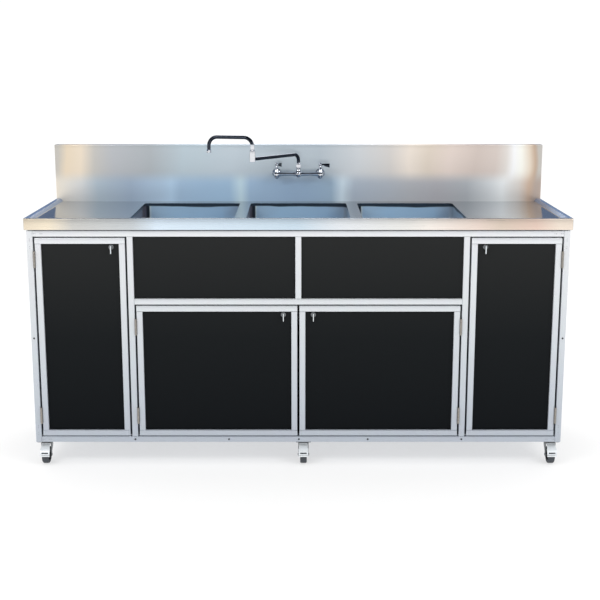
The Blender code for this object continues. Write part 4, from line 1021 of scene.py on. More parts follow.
class SINK_OT_locks(bpy.types.Operator):
    """Turns the cam locks and cuts their keys."""
    bl_idname = "sink.build_locks"
    bl_label = "Locks and keys"

    def execute(self, context):
        for door in DOORS:
            x, front, z = JOINTS[f"{door}_lock_turn"]["pos_m"]
            low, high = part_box(f"lock_{door}")
            radius, proud = 0.011, 0.003
            barrel, nut, bite = 0.0078, 0.0108, 0.0002
            centre = (x, 0, z)
            face = lathe("lock_face", [
                (0, front + 0.0006), (0.0045, front + 0.0006), (0.0052, front), (radius - 0.0012, front),
                (radius, front + 0.0012), (radius, front + proud), (barrel, front + proud),
                (barrel, high.y - 0.0005), (barrel - 0.0006, high.y), (0, high.y)],
                centre, axis="Y", steps=36)
            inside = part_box(f"door_panel_{door}")[1].y + TOUCH
            ring = lathe("lock_nut", [(barrel - bite, inside), (nut, inside), (nut, inside + 0.0033),
                                      (barrel - bite, inside + 0.0033)], centre, axis="Y", steps=6, ring=True)
            soften(ring, 0.0005, 2)
            wide = 0.0065
            if abs(high.x - x) > abs(low.x - x):
                cam_x = (x - wide, high.x - TOUCH)
            else:
                cam_x = (low.x + TOUCH, x + wide)
            cam = block("cam", (cam_x[0], high.y - 0.0023, z - wide), (cam_x[1], high.y - 0.0001, z + wide))
            with editing(cam):
                pick("EDGE", lambda e: runs(e, "Y"))
                bpy.ops.mesh.bevel(offset=0.0055, segments=5, affect="EDGES")
            soften(cam, 0.0003, 1)
            screw = lathe("cam_screw", [
                (0, high.y + 0.0001), (0.0034, high.y + 0.0001), (0.0042, high.y - 0.0008),
                (0.0042, high.y - 0.0030), (0, high.y - 0.0030)], centre, axis="Y", steps=24)
            finished(joined(f"lock_body_{door}", face, ring, cam, screw), f"{door}_lock", "zinc_plate",
                     "dulled zinc plate", f"lock_{door}")
            finished(key(f"key_{door}", x, front, z, low.y), f"{door}_lock", "zinc_plate",
                     "bright zinc plate")
        return {"FINISHED"}


def key(name, x, front, z, tip):
    """A flat key standing out of the lock: a shank and a long bow with a hole."""
    thick = 0.0015
    bow_back = front - 0.0035
    bow = block("key_bow", (x - thick, tip, z - 0.0275), (x + thick, bow_back, z + 0.0065))
    with editing(bow):
        pick("EDGE", lambda e: runs(e, "X"))
        bpy.ops.mesh.bevel(offset=0.0052, segments=6, affect="EDGES")
    spot = (x, (tip + bow_back) / 2, z - 0.0215)
    carve(bow, rod("key_hole", 0.0022, -0.004, 0.004, spot, "X", 20))
    soften(bow, 0.0002, 1, 60)
    shank = rounded_block("key_shank", (x - thick * 0.9, front - 0.006, z - 0.0038),
                          (x + thick * 0.9, front + 0.0005, z + 0.0038), 0.0003, 2)
    return joined(name, bow, shank)


def screw_head(name, x, y, z, radius):
    """A low domed head with a hexagon socket, facing the user."""
    head = lathe(name, [(0, 0.0002), (radius, 0.0002), (radius, -0.0008), (radius * 0.86, -0.0017),
                        (radius * 0.55, -0.0021), (0, -0.0021)], (x, y, z), axis="Y", steps=24)
    return carve(head, rod("socket", radius * 0.42, -0.004, -0.0009, (x, y, z), "Y", 6))


class SINK_OT_fasteners(bpy.types.Operator):
    """Sets the black screws in the frame and the stake marks beside its corners."""
    bl_idname = "sink.build_fasteners"
    bl_label = "Screws and stake marks"

    def execute(self, context):
        cabinet = context.scene.sink_cabinet
        face = FRAME_LOW.y
        post = FRAME_HIGH.x - TUBE / 2
        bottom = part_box("floor_panel")[0].z - TOUCH - TUBE / 2
        top = FRAME_HIGH.z - TUBE / 2
        screws = [(side * post, (bottom + top) / 2) for side in (-1, 1)]
        screws += [(x, bottom) for x in (-0.705, -0.30, 0.002, 0.30, 0.705)]
        heads = [screw_head("screw", x, face, z, cabinet.screw / 2) for x, z in screws]
        finished(joined("frame_screws", *heads), "cabinet", "pump_black", "black oxide steel")
        marks = []
        for side in (-1, 1):
            for level, rise in ((bottom, 1), (top, -1)):
                for along in (0.034, 0.062):
                    marks += stake_pair(side * (FRAME_HIGH.x - along), level, 0.0034, 0.0, face,
                                        cabinet.stake)
                for along in (0.026, 0.058):
                    marks += stake_pair(side * post, level + rise * along, 0.0, 0.0040, face, cabinet.stake)
        finished(joined("stake_marks", *marks), "cabinet", "satin_aluminium", "staked aluminium")
        return {"FINISHED"}


def stake_pair(x, z, apart_x, apart_z, face, width):
    """Two small pressed rings side by side."""
    pair = []
    for side in (-1, 1):
        spot = (x + side * apart_x, face, z + side * apart_z)
        pair.append(lathe("stake", [(0, 0.0001), (width * 0.30, 0.0001), (width * 0.42, -0.0004),
                                    (width * 0.55, -0.0003), (width * 0.62, 0.0003), (0, 0.0003)],
                          spot, axis="Y", steps=14))
    return pair


# ---- faucet ---------------------------------------------------------------------------
class SINK_OT_faucet(bpy.types.Operator):
    """Turns the faucet's bar, valves, wall shanks and centre outlet."""
    bl_idname = "sink.build_faucet"
    bl_label = "Faucet body"

    def execute(self, context):
        faucet = context.scene.sink_faucet
        hot = Vector(JOINTS["hot_valve_turn"]["pos_m"])
        cold = Vector(JOINTS["cold_valve_turn"]["pos_m"])
        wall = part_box("faucet_body")[1].y
        drop = 0.0363       # from the levers' joints to the bar's middle
        y, level = hot.y, hot.z - drop
        bar, valve = faucet.bar / 2, faucet.valve / 2
        half = (cold.x - hot.x) / 2
        swell = [(0, -half), (bar * 1.15, -half), (bar * 1.15, -half + 0.012), (bar * 0.96, -half + 0.026),
                 (bar * 0.80, -half * 0.5), (bar * 0.86, -half * 0.28), (bar * 1.12, -0.016)]
        parts = [lathe("bar", swell + mirrored(swell), (0, y, level), axis="X", steps=28)]
        depth = wall - y
        for x in (hot.x, cold.x):
            parts.append(lathe("valve", [
                (0, 0.0362), (0.0042, 0.0362), (0.0048, 0.0350), (0.0052, 0.0285), (0.0085, 0.0255),
                (0.0088, 0.0215), (0.0108, 0.0165), (valve * 0.93, 0.0105), (valve, 0.0070), (valve, -0.0110),
                (valve * 0.93, -0.0155), (valve * 0.70, -0.0195), (valve * 0.35, -0.0217), (0, -0.0222)],
                (x, y, level), steps=32))
            parts.append(lathe("index", [
                (0, -valve - 0.0006), (0.0035, -valve - 0.0006), (0.0042, -valve + 0.0002),
                (0.0042, -valve + 0.0030), (0, -valve + 0.0030)], (x, y, level - 0.001), axis="Y", steps=24))
            parts.append(lathe("shank", [
                (0, 0.002), (0.0105, 0.002), (0.0105, depth - 0.020), (0.0150, depth - 0.018),
                (0.0150, depth - 0.0095), (0.0155, depth - 0.0085), (0.0200, depth - 0.0060),
                (0.0226, depth - 0.0022), (0.0230, depth), (0, depth)], (x, y, level), axis="Y", steps=36))
            nut = rod("shank_nut", 0.0150, depth - 0.0235, depth - 0.0120, (x, y, level), "Y", 6)
            parts.append(soften(nut, 0.0010, 2))
        parts.append(lathe("outlet", [
            (0, 0.0285), (0.0098, 0.0285), (0.0092, 0.0255), (0.0098, 0.0205), (0.0116, 0.0150),
            (0.0140, 0.0095), (0.0157, 0.0045), (0.0158, -0.0040), (0.0140, -0.0095), (0.0100, -0.0130),
            (0.0050, -0.0142), (0, -0.0143)], (0, y, level), steps=32))
        ring = lathe("spout_nut", [(0, 0.0470), (0.0102, 0.0470), (0.0114, 0.0455), (0.0114, 0.0305),
                                   (0.0102, 0.0288), (0, 0.0288)], (0, y, level), steps=36)
        with editing(ring):
            pick("FACE", lambda f: abs(f.normal.z) < 0.1 and f.calc_area() > 2e-5
                 and int(math.atan2(f.calc_center_median().y - y, f.calc_center_median().x) * 18 / math.pi
                         + 36) % 2)
            bpy.ops.mesh.inset(thickness=0.0003, depth=-0.0004, use_individual=True)
        parts.append(ring)
        finished(joined("faucet", *parts), "cabinet", "chrome_plate", "polished chrome plate", "faucet_body")
        return {"FINISHED"}


def blade_lever(name, joint, angle, length):
    """A hub with a ball top and a blade that deepens towards its end."""
    hub = lathe("hub", [(0, 0.0170), (0.0034, 0.0162), (0.0060, 0.0145), (0.0078, 0.0112), (0.0080, 0.0080),
                        (0.0072, 0.0048), (0.0056, 0.0026), (0.0056, 0.0), (0, 0.0)], joint, steps=28)
    blade = block("blade", (0.004, -0.0028, 0.0042), (0.018, 0.0028, 0.0118))
    with editing(blade):
        pick("FACE", lambda f: f.normal.x > 0.9)
        for reach, low, high, wide in ((0.018, 0.0010, 0.0122, 0.82), (length, -0.0055, 0.0125, 1.12)):
            faces = bmesh.from_edit_mesh(blade.data).faces
            now = [v.co.copy() for f in faces if f.select for v in f.verts]
            old_low, old_high = min(v.z for v in now), max(v.z for v in now)
            step = reach - now[0].x
            bpy.ops.mesh.extrude_region_move(TRANSFORM_OT_translate={"value": (
                step, 0, (low + high) / 2 - (old_low + old_high) / 2)})
            bpy.ops.transform.resize(value=(1, wide, (high - low) / (old_high - old_low)),
                                     center_override=(reach, 0, (low + high) / 2))
    soften(blade, 0.0010, 2, 25)
    placed(blade, Matrix.Translation(joint) @ Matrix.Rotation(angle, 4, "Z"))
    return joined(f"{name}_hub", hub), joined(f"{name}_blade", blade)


class SINK_OT_levers(bpy.types.Operator):
    """Shapes the hot and cold blade levers at their rest angles."""
    bl_idname = "sink.build_levers"
    bl_label = "Levers"

    def execute(self, context):
        length = context.scene.sink_faucet.lever_length
        for name, angle in (("hot", 61), ("cold", 0)):      # degrees from straight out to the right
            joint = Vector(JOINTS[f"{name}_valve_turn"]["pos_m"])
            hub, blade = blade_lever(name, joint, math.radians(angle), length)
            finished(hub, f"{name}_lever", "chrome_plate", "polished chrome plate", f"lever_{name}")
            finished(blade, f"{name}_lever", "chrome_plate", "drawn chrome tube", f"lever_{name}")
        return {"FINISHED"}


class SINK_OT_spouts(bpy.types.Operator):
    """Bends the two arms of the swing spout and turns their joint and aerator."""
    bl_idname = "sink.build_spouts"
    bl_label = "Spout arms"

    def execute(self, context):
        radius = context.scene.sink_faucet.tube / 2
        foot = Vector(JOINTS["spout_inner_swivel"]["pos_m"])
        elbow = Vector(JOINTS["spout_outer_swivel"]["pos_m"])
        reach = Vector((elbow.x - foot.x, elbow.y - foot.y, 0))
        out = reach.normalized()
        sleeve_low = elbow.z - 0.0493
        level = sleeve_low + 0.013
        bend = 0.030
        arm = bent_bar("arm", radius, foot, (0, 0, 1), [
            level - bend - foot.z, (bend, out, math.pi / 2), reach.length - bend])
        foot_ring = lathe("foot_ring", [(0, 0.0), (0.0098, 0.0), (0.0098, 0.0042), (0.0086, 0.0062),
                                        (0, 0.0062)], foot, steps=32)
        sleeve = lathe("sleeve", [
            (0, 0.0490), (0.0118, 0.0490), (0.0130, 0.0478), (0.0130, 0.0440), (0.0124, 0.0434),
            (0.0124, 0.0422), (0.0130, 0.0416), (0.0130, 0.0012), (0.0118, 0.0), (0, 0.0)],
            (elbow.x, elbow.y, sleeve_low), steps=36)
        finished(joined("inner_arm", arm), "inner_spout", "chrome_plate", "drawn chrome tube",
                 "spout_inner_arm")
        finished(joined("inner_sleeve", sleeve, foot_ring), "inner_spout", "chrome_plate",
                 "polished chrome plate")
        low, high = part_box("spout_outer_arm")
        angle = math.radians(167)       # heading of the outer arm at rest
        out = Vector((math.cos(angle), math.sin(angle), 0))
        top = high.z - radius
        bend, length = 0.038, 0.200
        arm = bent_bar("arm", radius, elbow, (0, 0, 1), [
            top - bend - elbow.z, (bend, out, math.pi / 2), length - 2 * bend,
            (bend, (0, 0, -1), math.pi / 2), top - bend - low.z - 0.004])
        nut = lathe("nut", [
            (0, 0.029), (0.0090, 0.029), (0.0102, 0.0278), (0.0102, 0.0240), (0.0096, 0.0232),
            (0.0096, 0.0070), (0.0104, 0.0060), (0.0104, 0.0010), (0.0098, 0.0), (0, 0.0)], elbow, steps=36)
        tip = elbow + out * length
        aerator = lathe("aerator", [
            (0, 0.0030), (0.0078, 0.0030), (0.0086, 0.0002), (0.0098, 0.0), (0.0103, 0.0010),
            (0.0103, 0.0105), (0.0096, 0.0125), (0.0082, 0.0158), (0, 0.0158)],
            (tip.x, tip.y, low.z), steps=36)
        finished(joined("outer_arm", arm), "outer_spout", "chrome_plate", "drawn chrome tube",
                 "spout_outer_arm")
        finished(joined("outer_nut", nut, aerator), "outer_spout", "chrome_plate", "polished chrome plate")
        return {"FINISHED"}


# ---- casters --------------------------------------------------------------------------
def caster_wheel(name, centre, tread, bore):
    """Rubber tread, and a hub with a raised rim and bearing covers."""
    half = tread / 2
    radius = centre.z
    inner = radius - 0.0085
    crown = [(inner, half * 0.92), (radius - 0.0040, half * 0.96), (radius - 0.0015, half * 0.86),
             (radius - 0.0003, half * 0.64), (radius, half * 0.40)]
    rubber = lathe(f"tread_{name}", crown + mirrored(crown), centre, axis="X", steps=56, ring=True)
    side = [(bore, half + 0.0028), (bore + 0.0050, half + 0.0028), (bore + 0.0060, half + 0.0018),
            (bore + 0.0062, half * 0.55), (inner - 0.0050, half * 0.50), (inner - 0.0030, half * 0.88),
            (inner - 0.0004, half * 0.88)]
    hub = lathe(f"hub_{name}", side + mirrored(side), centre, axis="X", steps=40, ring=True)
    return rubber, hub


def fork_leg(x, y, top, thick, wheel):
    """One pressed leg: broad under the crown, narrow at the waist, round at the axle."""
    leg = block("leg", (x - thick / 2, y - 0.0245, top - 0.0250), (x + thick / 2, y + 0.0150, top - 0.0120))
    height, width, lead = top - 0.0250, 0.0395, -0.00475
    stages = [(top - 0.0340, 0.0360, -0.0095), (wheel.z + 0.0140, 0.0215, -0.0215),
              (wheel.z, 0.0220, -0.0240), (wheel.z - 0.0105, 0.0090, -0.0240)]
    with editing(leg):
        pick("FACE", lambda f: f.normal.z < -0.9)
        for level, new_width, new_lead in stages:
            bpy.ops.mesh.extrude_region_move(
                TRANSFORM_OT_translate={"value": (0, new_lead - lead, level - height)})
            bpy.ops.transform.resize(value=(1, new_width / width, 1),
                                     center_override=(x, y + new_lead, level))
            height, width, lead = level, new_width, new_lead
        pick("EDGE", lambda e: runs(e, "X"))
        bpy.ops.mesh.bevel(offset=0.0030, segments=3, affect="EDGES")
    return soften(leg, 0.0005, 2, 60)


def caster_fork(name, swivel, wheel, sizes):
    """Crown, a bridge, two legs and the axle bolt with its nut."""
    inner, thick = sizes.tread / 2 + 0.0045, 0.0028
    reach = inner + thick
    rim = sizes.crown / 2
    crown = lathe("crown", [(0, -0.0128), (rim - 0.0008, -0.0128), (rim, -0.0120), (rim, -0.0102),
                            (rim - 0.0010, -0.0094), (rim - 0.0025, -0.0092), (0, -0.0092)], swivel, steps=40)
    bridge = rounded_block("bridge", (swivel.x - reach, swivel.y - 0.0240, swivel.z - 0.0152),
                           (swivel.x + reach, swivel.y + 0.0150, swivel.z - 0.0122), 0.0008, 2)
    legs = [fork_leg(swivel.x + side * (inner + thick / 2), swivel.y, swivel.z, thick, wheel)
            for side in (-1, 1)]
    bolt = lathe("axle", [
        (0, -reach - 0.0026), (0.0042, -reach - 0.0026), (0.0055, -reach - 0.0016), (0.0058, -reach),
        (0.0036, -reach + 0.0002), (0.0036, reach + 0.0026), (0, reach + 0.0026)], wheel, axis="X", steps=24)
    nut = soften(rod("nut", 0.0062, reach, reach + 0.0022, wheel, "X", 6), 0.0005, 2)
    return joined(f"fork_{name}", crown, bridge, bolt, nut, *legs)


def brake_pedal(name, pivot, wheel, width):
    """A bent strip from its barrel over the wheel's front, with a slot and a lip."""
    thick, gap, taper = 0.0018, 0.0056, 0.0045
    reach = wheel.z + gap
    begin, sweep = math.radians(122), math.radians(46)
    start = wheel + Vector((0, math.cos(begin), math.sin(begin))) * reach
    end = wheel + Vector((0, math.cos(begin + sweep), math.sin(begin + sweep))) * reach
    heading = start - pivot
    inwards = (wheel - start).normalized()
    blade = bent_bar("blade", (width - taper, thick), pivot, heading, [
        heading.length, (reach, inwards, sweep)])
    lip = rounded_block("lip", (end.x - width / 2, end.y - 0.0016, end.z - 0.0068),
                        (end.x + width / 2, end.y + 0.0004, end.z - 0.0012), 0.0006, 2)
    with editing(blade):
        pick("VERT", lambda v: v.co.z < start.z - 0.002)
        bpy.ops.transform.resize(value=(width / (width - taper), 1, 1), center_override=pivot)
    slot = rounded_block("slot", (end.x - 0.0140, end.y - 0.01, end.z + 0.0058),
                         (end.x + 0.0140, end.y + 0.01, end.z + 0.0112), 0.0012, 2)
    carve(blade, slot)
    soften(blade, 0.0003, 1, 60)
    half = width / 2 - 0.0030
    barrel = lathe("barrel", [(0, -half), (0.0027, -half), (0.0033, -half + 0.0006), (0.0033, half - 0.0006),
                              (0.0027, half), (0, half)], pivot, axis="X", steps=20)
    return joined(f"pedal_{name}", blade, lip, barrel)


class SINK_OT_casters(bpy.types.Operator):
    """Builds the six casters: plate, race, fork, wheel and, at the front, brake pedal."""
    bl_idname = "sink.build_casters"
    bl_label = "Casters"

    def execute(self, context):
        sizes = context.scene.sink_casters
        for name in CASTERS:
            swivel = Vector(JOINTS[f"{name}_swivel"]["pos_m"])
            wheel = Vector(JOINTS[f"{name}_roll"]["pos_m"])
            rubber, hub = caster_wheel(name, wheel, sizes.tread, 0.0044)
            finished(rubber, f"{name}_wheel", "grey_tread", "grey rubber tread", f"caster_wheel_{name}")
            finished(hub, f"{name}_wheel", "grey_tread", "black moulded nylon", f"caster_wheel_{name}")
            finished(caster_fork(name, swivel, wheel, sizes), f"{name}_fork", "zinc_plate",
                     "dulled zinc plate", f"caster_fork_{name}")
            race = lathe(f"race_{name}", [
                (0, -0.0092), (0.0196, -0.0092), (0.0206, -0.0080), (0.0206, -0.0030), (0.0190, 0.0),
                (0, 0.0)], swivel, steps=40)
            finished(race, f"{name}_fork", "zinc_plate", "coppered race")
            corner = Vector((0.033, 0.046, 0))
            low, high = swivel - corner, swivel + corner
            plate = rounded_block("plate", (low.x, low.y, FRAME_LOW.z - 0.0034),
                                  (high.x, high.y, FRAME_LOW.z), 0.0008, 2)
            bolt = [(0, -0.0050), (0.0044, -0.0050), (0.0052, -0.0042), (0.0052, 0.0), (0, 0.0)]
            spots = [(swivel.x + side * 0.0255, swivel.y + end * 0.0375, FRAME_LOW.z)
                     for side in (-1, 1) for end in (-1, 1)]
            bolts = [lathe("bolt", bolt, spot, steps=6) for spot in spots]
            finished(joined(f"plate_{name}", plate, *bolts), "cabinet", "zinc_plate", "dulled zinc plate")
            if f"{name}_brake" in JOINTS:
                pivot = Vector(JOINTS[f"{name}_brake"]["pos_m"])
                finished(brake_pedal(name, pivot, wheel, sizes.pedal), f"{name}_pedal", "chrome_plate",
                         "bright zinc plate", f"brake_pedal_{name}")
        return {"FINISHED"}


# ---- drains and water system ------------------------------------------------------------
class SINK_OT_drains(bpy.types.Operator):
    """Turns the strainers with their slotted baskets and fits the waste pipe."""
    bl_idname = "sink.build_drains"
    bl_label = "Strainers and waste pipe"

    def execute(self, context):
        hole = context.scene.sink_bowls.drain_hole / 2 - TOUCH
        for place in BOWLS:
            low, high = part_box(f"strainer_{place}")
            centre = (low + high) / 2
            spot = (centre.x, centre.y, 0)
            floor, base = high.z - 0.002, low.z + 0.060
            pipe = 0.019
            body = lathe("body", [
                (hole - 0.0020, floor + 0.0012), (hole + 0.0040, floor + 0.0020), (0.0560, floor + 0.0012),
                (0.0570, floor), (hole, floor), (hole, base + 0.012), (hole - 0.004, base + 0.004),
                (hole - 0.010, base), (pipe, base), (pipe, low.z), (pipe - 0.002, low.z),
                (pipe - 0.002, base + 0.002), (hole - 0.012, base + 0.002), (hole - 0.0062, base + 0.0062),
                (hole - 0.002, base + 0.014)],
                spot, steps=48, ring=True)
            nut = lathe("slip_nut", [(pipe - 0.0002, base - 0.004), (pipe + 0.006, base - 0.005),
                                     (pipe + 0.006, base - 0.020), (pipe - 0.0002, base - 0.022)],
                        spot, steps=10, ring=True)
            finished(joined(f"strainer_body_{place}", body, soften(nut, 0.0008, 2)), "cabinet",
                     "stainless", "drawn stainless bowl", f"strainer_{place}")
            finished(strainer_basket(place, spot, floor, base), "cabinet", "stainless",
                     "brushed stainless deck")
        finished(waste_pipe_run(), "cabinet", "white_pipe", "white PVC", "drain_manifold")
        return {"FINISHED"}


def strainer_basket(place, spot, floor, base):
    """A lift-out basket: rolled rim, slotted wall and a small knob."""
    basket = lathe("basket", [
        (0, base + 0.0057), (0.0236, base + 0.0057), (0.0279, base + 0.0088), (0.0335, floor + 0.0002),
        (0.0395, floor + 0.0008), (0.0405, floor + 0.0002), (0.0395, floor - 0.0006),
        (0.0345, floor - 0.0010), (0.0290, base + 0.0080), (0.0240, base + 0.0045), (0, base + 0.0045)],
        spot, steps=48)
    slots = []
    count = 12
    for turn in range(count):
        slot = rounded_block("slot", (0.024, -0.0015, base + 0.014), (0.040, 0.0015, floor - 0.010),
                             0.0008, 2)
        turned = Matrix.Rotation(math.tau * turn / count, 4, "Z")
        slots.append(placed(slot, Matrix.Translation(spot) @ turned))
    carve(basket, joined("slots", *slots))
    knob = lathe("knob", [
        (0, base + 0.0240), (0.0045, base + 0.0232), (0.0060, base + 0.0205), (0.0045, base + 0.0180),
        (0.0022, base + 0.0160), (0.0022, base + 0.0055), (0, base + 0.0055)], spot, steps=24)
    return joined(f"basket_{place}", basket, knob)


def collar(centre, axis, radius, length):
    """A socket's raised end: a short ring with rounded lips."""
    half = length / 2
    side = [(radius - 0.0010, -half), (radius + 0.0022, -half), (radius + 0.0030, -half + 0.0008)]
    return lathe("collar", side + mirrored(side), centre, axis=axis, steps=32, ring=True)


def waste_pipe_run():
    """The level pipe with a tee under each bowl, capped ends and the drop to the waste tank."""
    low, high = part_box("drain_manifold")
    radius = (high.y - low.y) / 2
    y, level, top = (low.y + high.y) / 2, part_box("strainer_centre")[0].z - 0.060, high.z
    pipe = radius - 0.0030
    half = high.x - 0.004
    end = [(0, -half - 0.004), (radius - 0.001, -half - 0.004), (radius, -half - 0.003),
           (radius, -half + 0.018), (pipe, -half + 0.019)]
    pieces = [lathe("run", end + mirrored(end), (0, y, level), axis="X", steps=32)]
    for place in BOWLS:
        bowl_low, bowl_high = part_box(f"bowl_{place}")
        x = (bowl_low.x + bowl_high.x) / 2
        pieces.append(lathe("tee", [
            (0, level), (0.0205, level), (0.0205, top - 0.018), (0.0228, top - 0.017), (0.0228, top - 0.001),
            (0.0218, top), (0, top)], (x, y, 0), steps=32))
        pieces += [collar((x + side * 0.034, y, level), "X", pipe, 0.010) for side in (-1, 1)]
    tank_low, tank_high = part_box("waste_water_tank")
    x = (tank_low.x + tank_high.x) / 2
    pieces.append(lathe("drop", [(0, low.z), (0.0195, low.z), (0.0205, low.z + 0.001), (0.0205, level),
                                 (0, level)], (x, y, 0), steps=32))
    pieces.append(collar((x, y, level - 0.030), "Z", 0.0195, 0.012))
    return joined("waste_pipe", *pieces)


def ribbed_tank(name, cap):
    """A blow-moulded can: round edges, upright ribs, a threaded neck and, where it's closed, a cap."""
    low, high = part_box(name)
    top = high.z - 0.020
    centre = (low + high) / 2
    shell = soften(block(f"{name}_shell", low, (high.x, high.y, top)), 0.028, 6)
    ribs = []
    count = 5
    for i in range(count):
        x = low.x + (high.x - low.x) * (i + 1) / (count + 1)
        ribs += [rounded_block("rib", (x - 0.011, y - 0.0045, low.z + 0.055),
                               (x + 0.011, y + 0.0045, top - 0.055), 0.0040) for y in (low.y, high.y)]
    carve(shell, joined("ribs", *ribs))
    neck = [(0, top - 0.004), (0.0300, top - 0.004), (0.0300, top + 0.0015)]
    for turn in range(3):
        rise = top + 0.0035 + turn * 0.0045
        neck += [(0.0286, rise), (0.0298, rise + 0.0012), (0.0286, rise + 0.0024)]
    neck += [(0.0280, high.z), (0.0252, high.z), (0.0250, top + 0.001), (0, top + 0.001)]
    tank = joined(f"{name}_body", shell, lathe("neck", neck, (centre.x, centre.y, 0), steps=40))
    finished(tank, "cabinet", "tank_plastic", "milky polyethylene", name)
    if cap:
        lid = lathe(f"{name}_cap", [
            (0, high.z - 0.002), (0.0245, high.z - 0.002), (0.0245, high.z + 0.0004),
            (0.0330, high.z + 0.0004), (0.0330, top + 0.006), (0.0345, top + 0.006),
            (0.0345, high.z + 0.0012), (0.0335, high.z + 0.0024), (0, high.z + 0.0024)],
            (centre.x, centre.y, 0), steps=40)
        finished(lid, "cabinet", "pump_black", "black moulded nylon")


class SINK_OT_water(bpy.types.Operator):
    """Builds the fresh and waste tanks, the water heater and the pump inside the cabinet."""
    bl_idname = "sink.build_water"
    bl_label = "Tanks, heater and pump"

    def execute(self, context):
        ribbed_tank("fresh_water_tank", cap=True)
        ribbed_tank("waste_water_tank", cap=False)
        heater()
        pump()
        return {"FINISHED"}


def heater():
    """An enamelled storage heater: case with a seam, front cover, dial, pilot lamp and two ports."""
    low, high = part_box("water_heater")
    top = high.z - 0.022
    centre = (low + high) / 2
    case = soften(block("case", low, (high.x, high.y, top)), 0.022, 5)
    groove = block("groove", (low.x - 0.01, centre.y - 0.001, low.z - 0.01),
                   (high.x + 0.01, centre.y + 0.001, top + 0.01))
    depth = 0.0015
    core = block("core", low + Vector((depth, 0, depth)), (high.x - depth, high.y, top - depth))
    carve(case, carve(groove, soften(core, 0.021, 5)))
    ports = []
    for side in (-1, 1):
        spot = (centre.x + side * (high.x - low.x) / 4, centre.y, 0)
        ports.append(lathe("port", [(0.0080, top - 0.002), (0.0110, top - 0.002), (0.0110, high.z - 0.001),
                                    (0.0102, high.z), (0.0080, high.z)], spot, steps=32, ring=True))
        nut = lathe("port_nut", [(0.0108, top), (0.0165, top), (0.0165, top + 0.008), (0.0108, top + 0.008)],
                    spot, steps=6, ring=True)
        ports.append(soften(nut, 0.0006, 2))
    finished(joined("heater_case", case), "cabinet", "white_enamel", "baked white enamel", "water_heater")
    finished(joined("heater_ports", *ports), "cabinet", "white_enamel", "bright zinc plate")
    face = low.y
    level = low.z + 0.075
    dial = lathe("dial", [
        (0, face - 0.0008), (0.016, face - 0.0008), (0.019, face + 0.0005), (0.0200, face + 0.004),
        (0, face + 0.004)], (centre.x, 0, level), axis="Y", steps=36)
    grip = rounded_block("grip", (centre.x - 0.0022, face - 0.0030, level - 0.014),
                         (centre.x + 0.0022, face + 0.001, level + 0.014), 0.0008, 2)
    lamp = lathe("lamp", [(0, face - 0.0015), (0.003, face - 0.0008), (0.0036, face + 0.001),
                          (0, face + 0.001)], (centre.x + 0.045, 0, level), axis="Y", steps=24)
    finished(joined("heater_dial", dial, grip, lamp), "cabinet", "pump_black", "black moulded nylon")


def pump():
    """A diaphragm pump: motor with cooling rings, head with screws and ports, a base and a saddle under the
    motor.
    """
    low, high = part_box("water_pump")
    centre = (low + high) / 2
    half, length = 0.050, high.y - low.y
    level = low.z + half
    head = rounded_block("head", (centre.x - half, low.y, low.z + 0.002),
                         (centre.x + half, low.y + 0.054, high.z), 0.006, 4)
    front = rounded_block("front", (centre.x - 0.036, low.y - 0.0010, level - 0.036),
                          (centre.x + 0.036, low.y + 0.006, level + 0.036), 0.003)
    screws = [lathe("screw", [(0, -0.0012), (0.0030, -0.0008), (0.0040, 0.0002), (0.0040, 0.003), (0, 0.003)],
                    (centre.x + x * 0.0405, low.y, level + z * 0.0405), axis="Y", steps=20)
              for x in (-1, 1) for z in (-1, 1)]
    profile = [(0, 0.050)]
    for ring in range(8):
        y = 0.058 + ring * 0.008
        profile += [(0.0370, y), (0.0400, y + 0.001), (0.0400, y + 0.004), (0.0370, y + 0.005)]
    profile += [(0.0385, length - 0.030), (0.0385, length - 0.004), (0.0350, length), (0, length)]
    motor = lathe("motor", profile, (centre.x, low.y, level), axis="Y", steps=40)
    base = rounded_block("base", (centre.x - half, low.y + 0.050, low.z),
                         (centre.x + half, high.y - 0.020, low.z + 0.006), 0.002, 2)
    saddle = rounded_block("saddle", (centre.x - 0.024, low.y + 0.062, low.z + 0.004),
                           (centre.x + 0.024, high.y - 0.032, level - 0.030), 0.004, 2)
    barb = [(0, 0.0), (0.0085, 0.0), (0.0085, half + 0.002), (0.0066, half + 0.0025)]
    for ring in range(3):
        reach = half + 0.003 + ring * 0.005
        barb += [(0.0086, reach), (0.0068, reach + 0.0045)]
    barb += [(0.0060, half + 0.018), (0, half + 0.018)]
    ports = [lathe("barb", [(radius, side * along) for radius, along in barb],
                   (centre.x, low.y + 0.027, level), axis="X", steps=24) for side in (-1, 1)]
    finished(joined("pump_body", head, front, motor, base, saddle, *ports, *screws), "cabinet",
             "pump_black", "black moulded nylon", "water_pump")


# ---- studio ---------------------------------------------------------------------------
# Each light's name, place, width and power in watts
LIGHTS = (("key", (-2.6, -3.4, 3.4), 2.0, 48),
          ("fill", (3.0, -3.0, 3.0), 2.0, 40),
          ("back", (0.0, 3.2, 3.2), 2.4, 50))


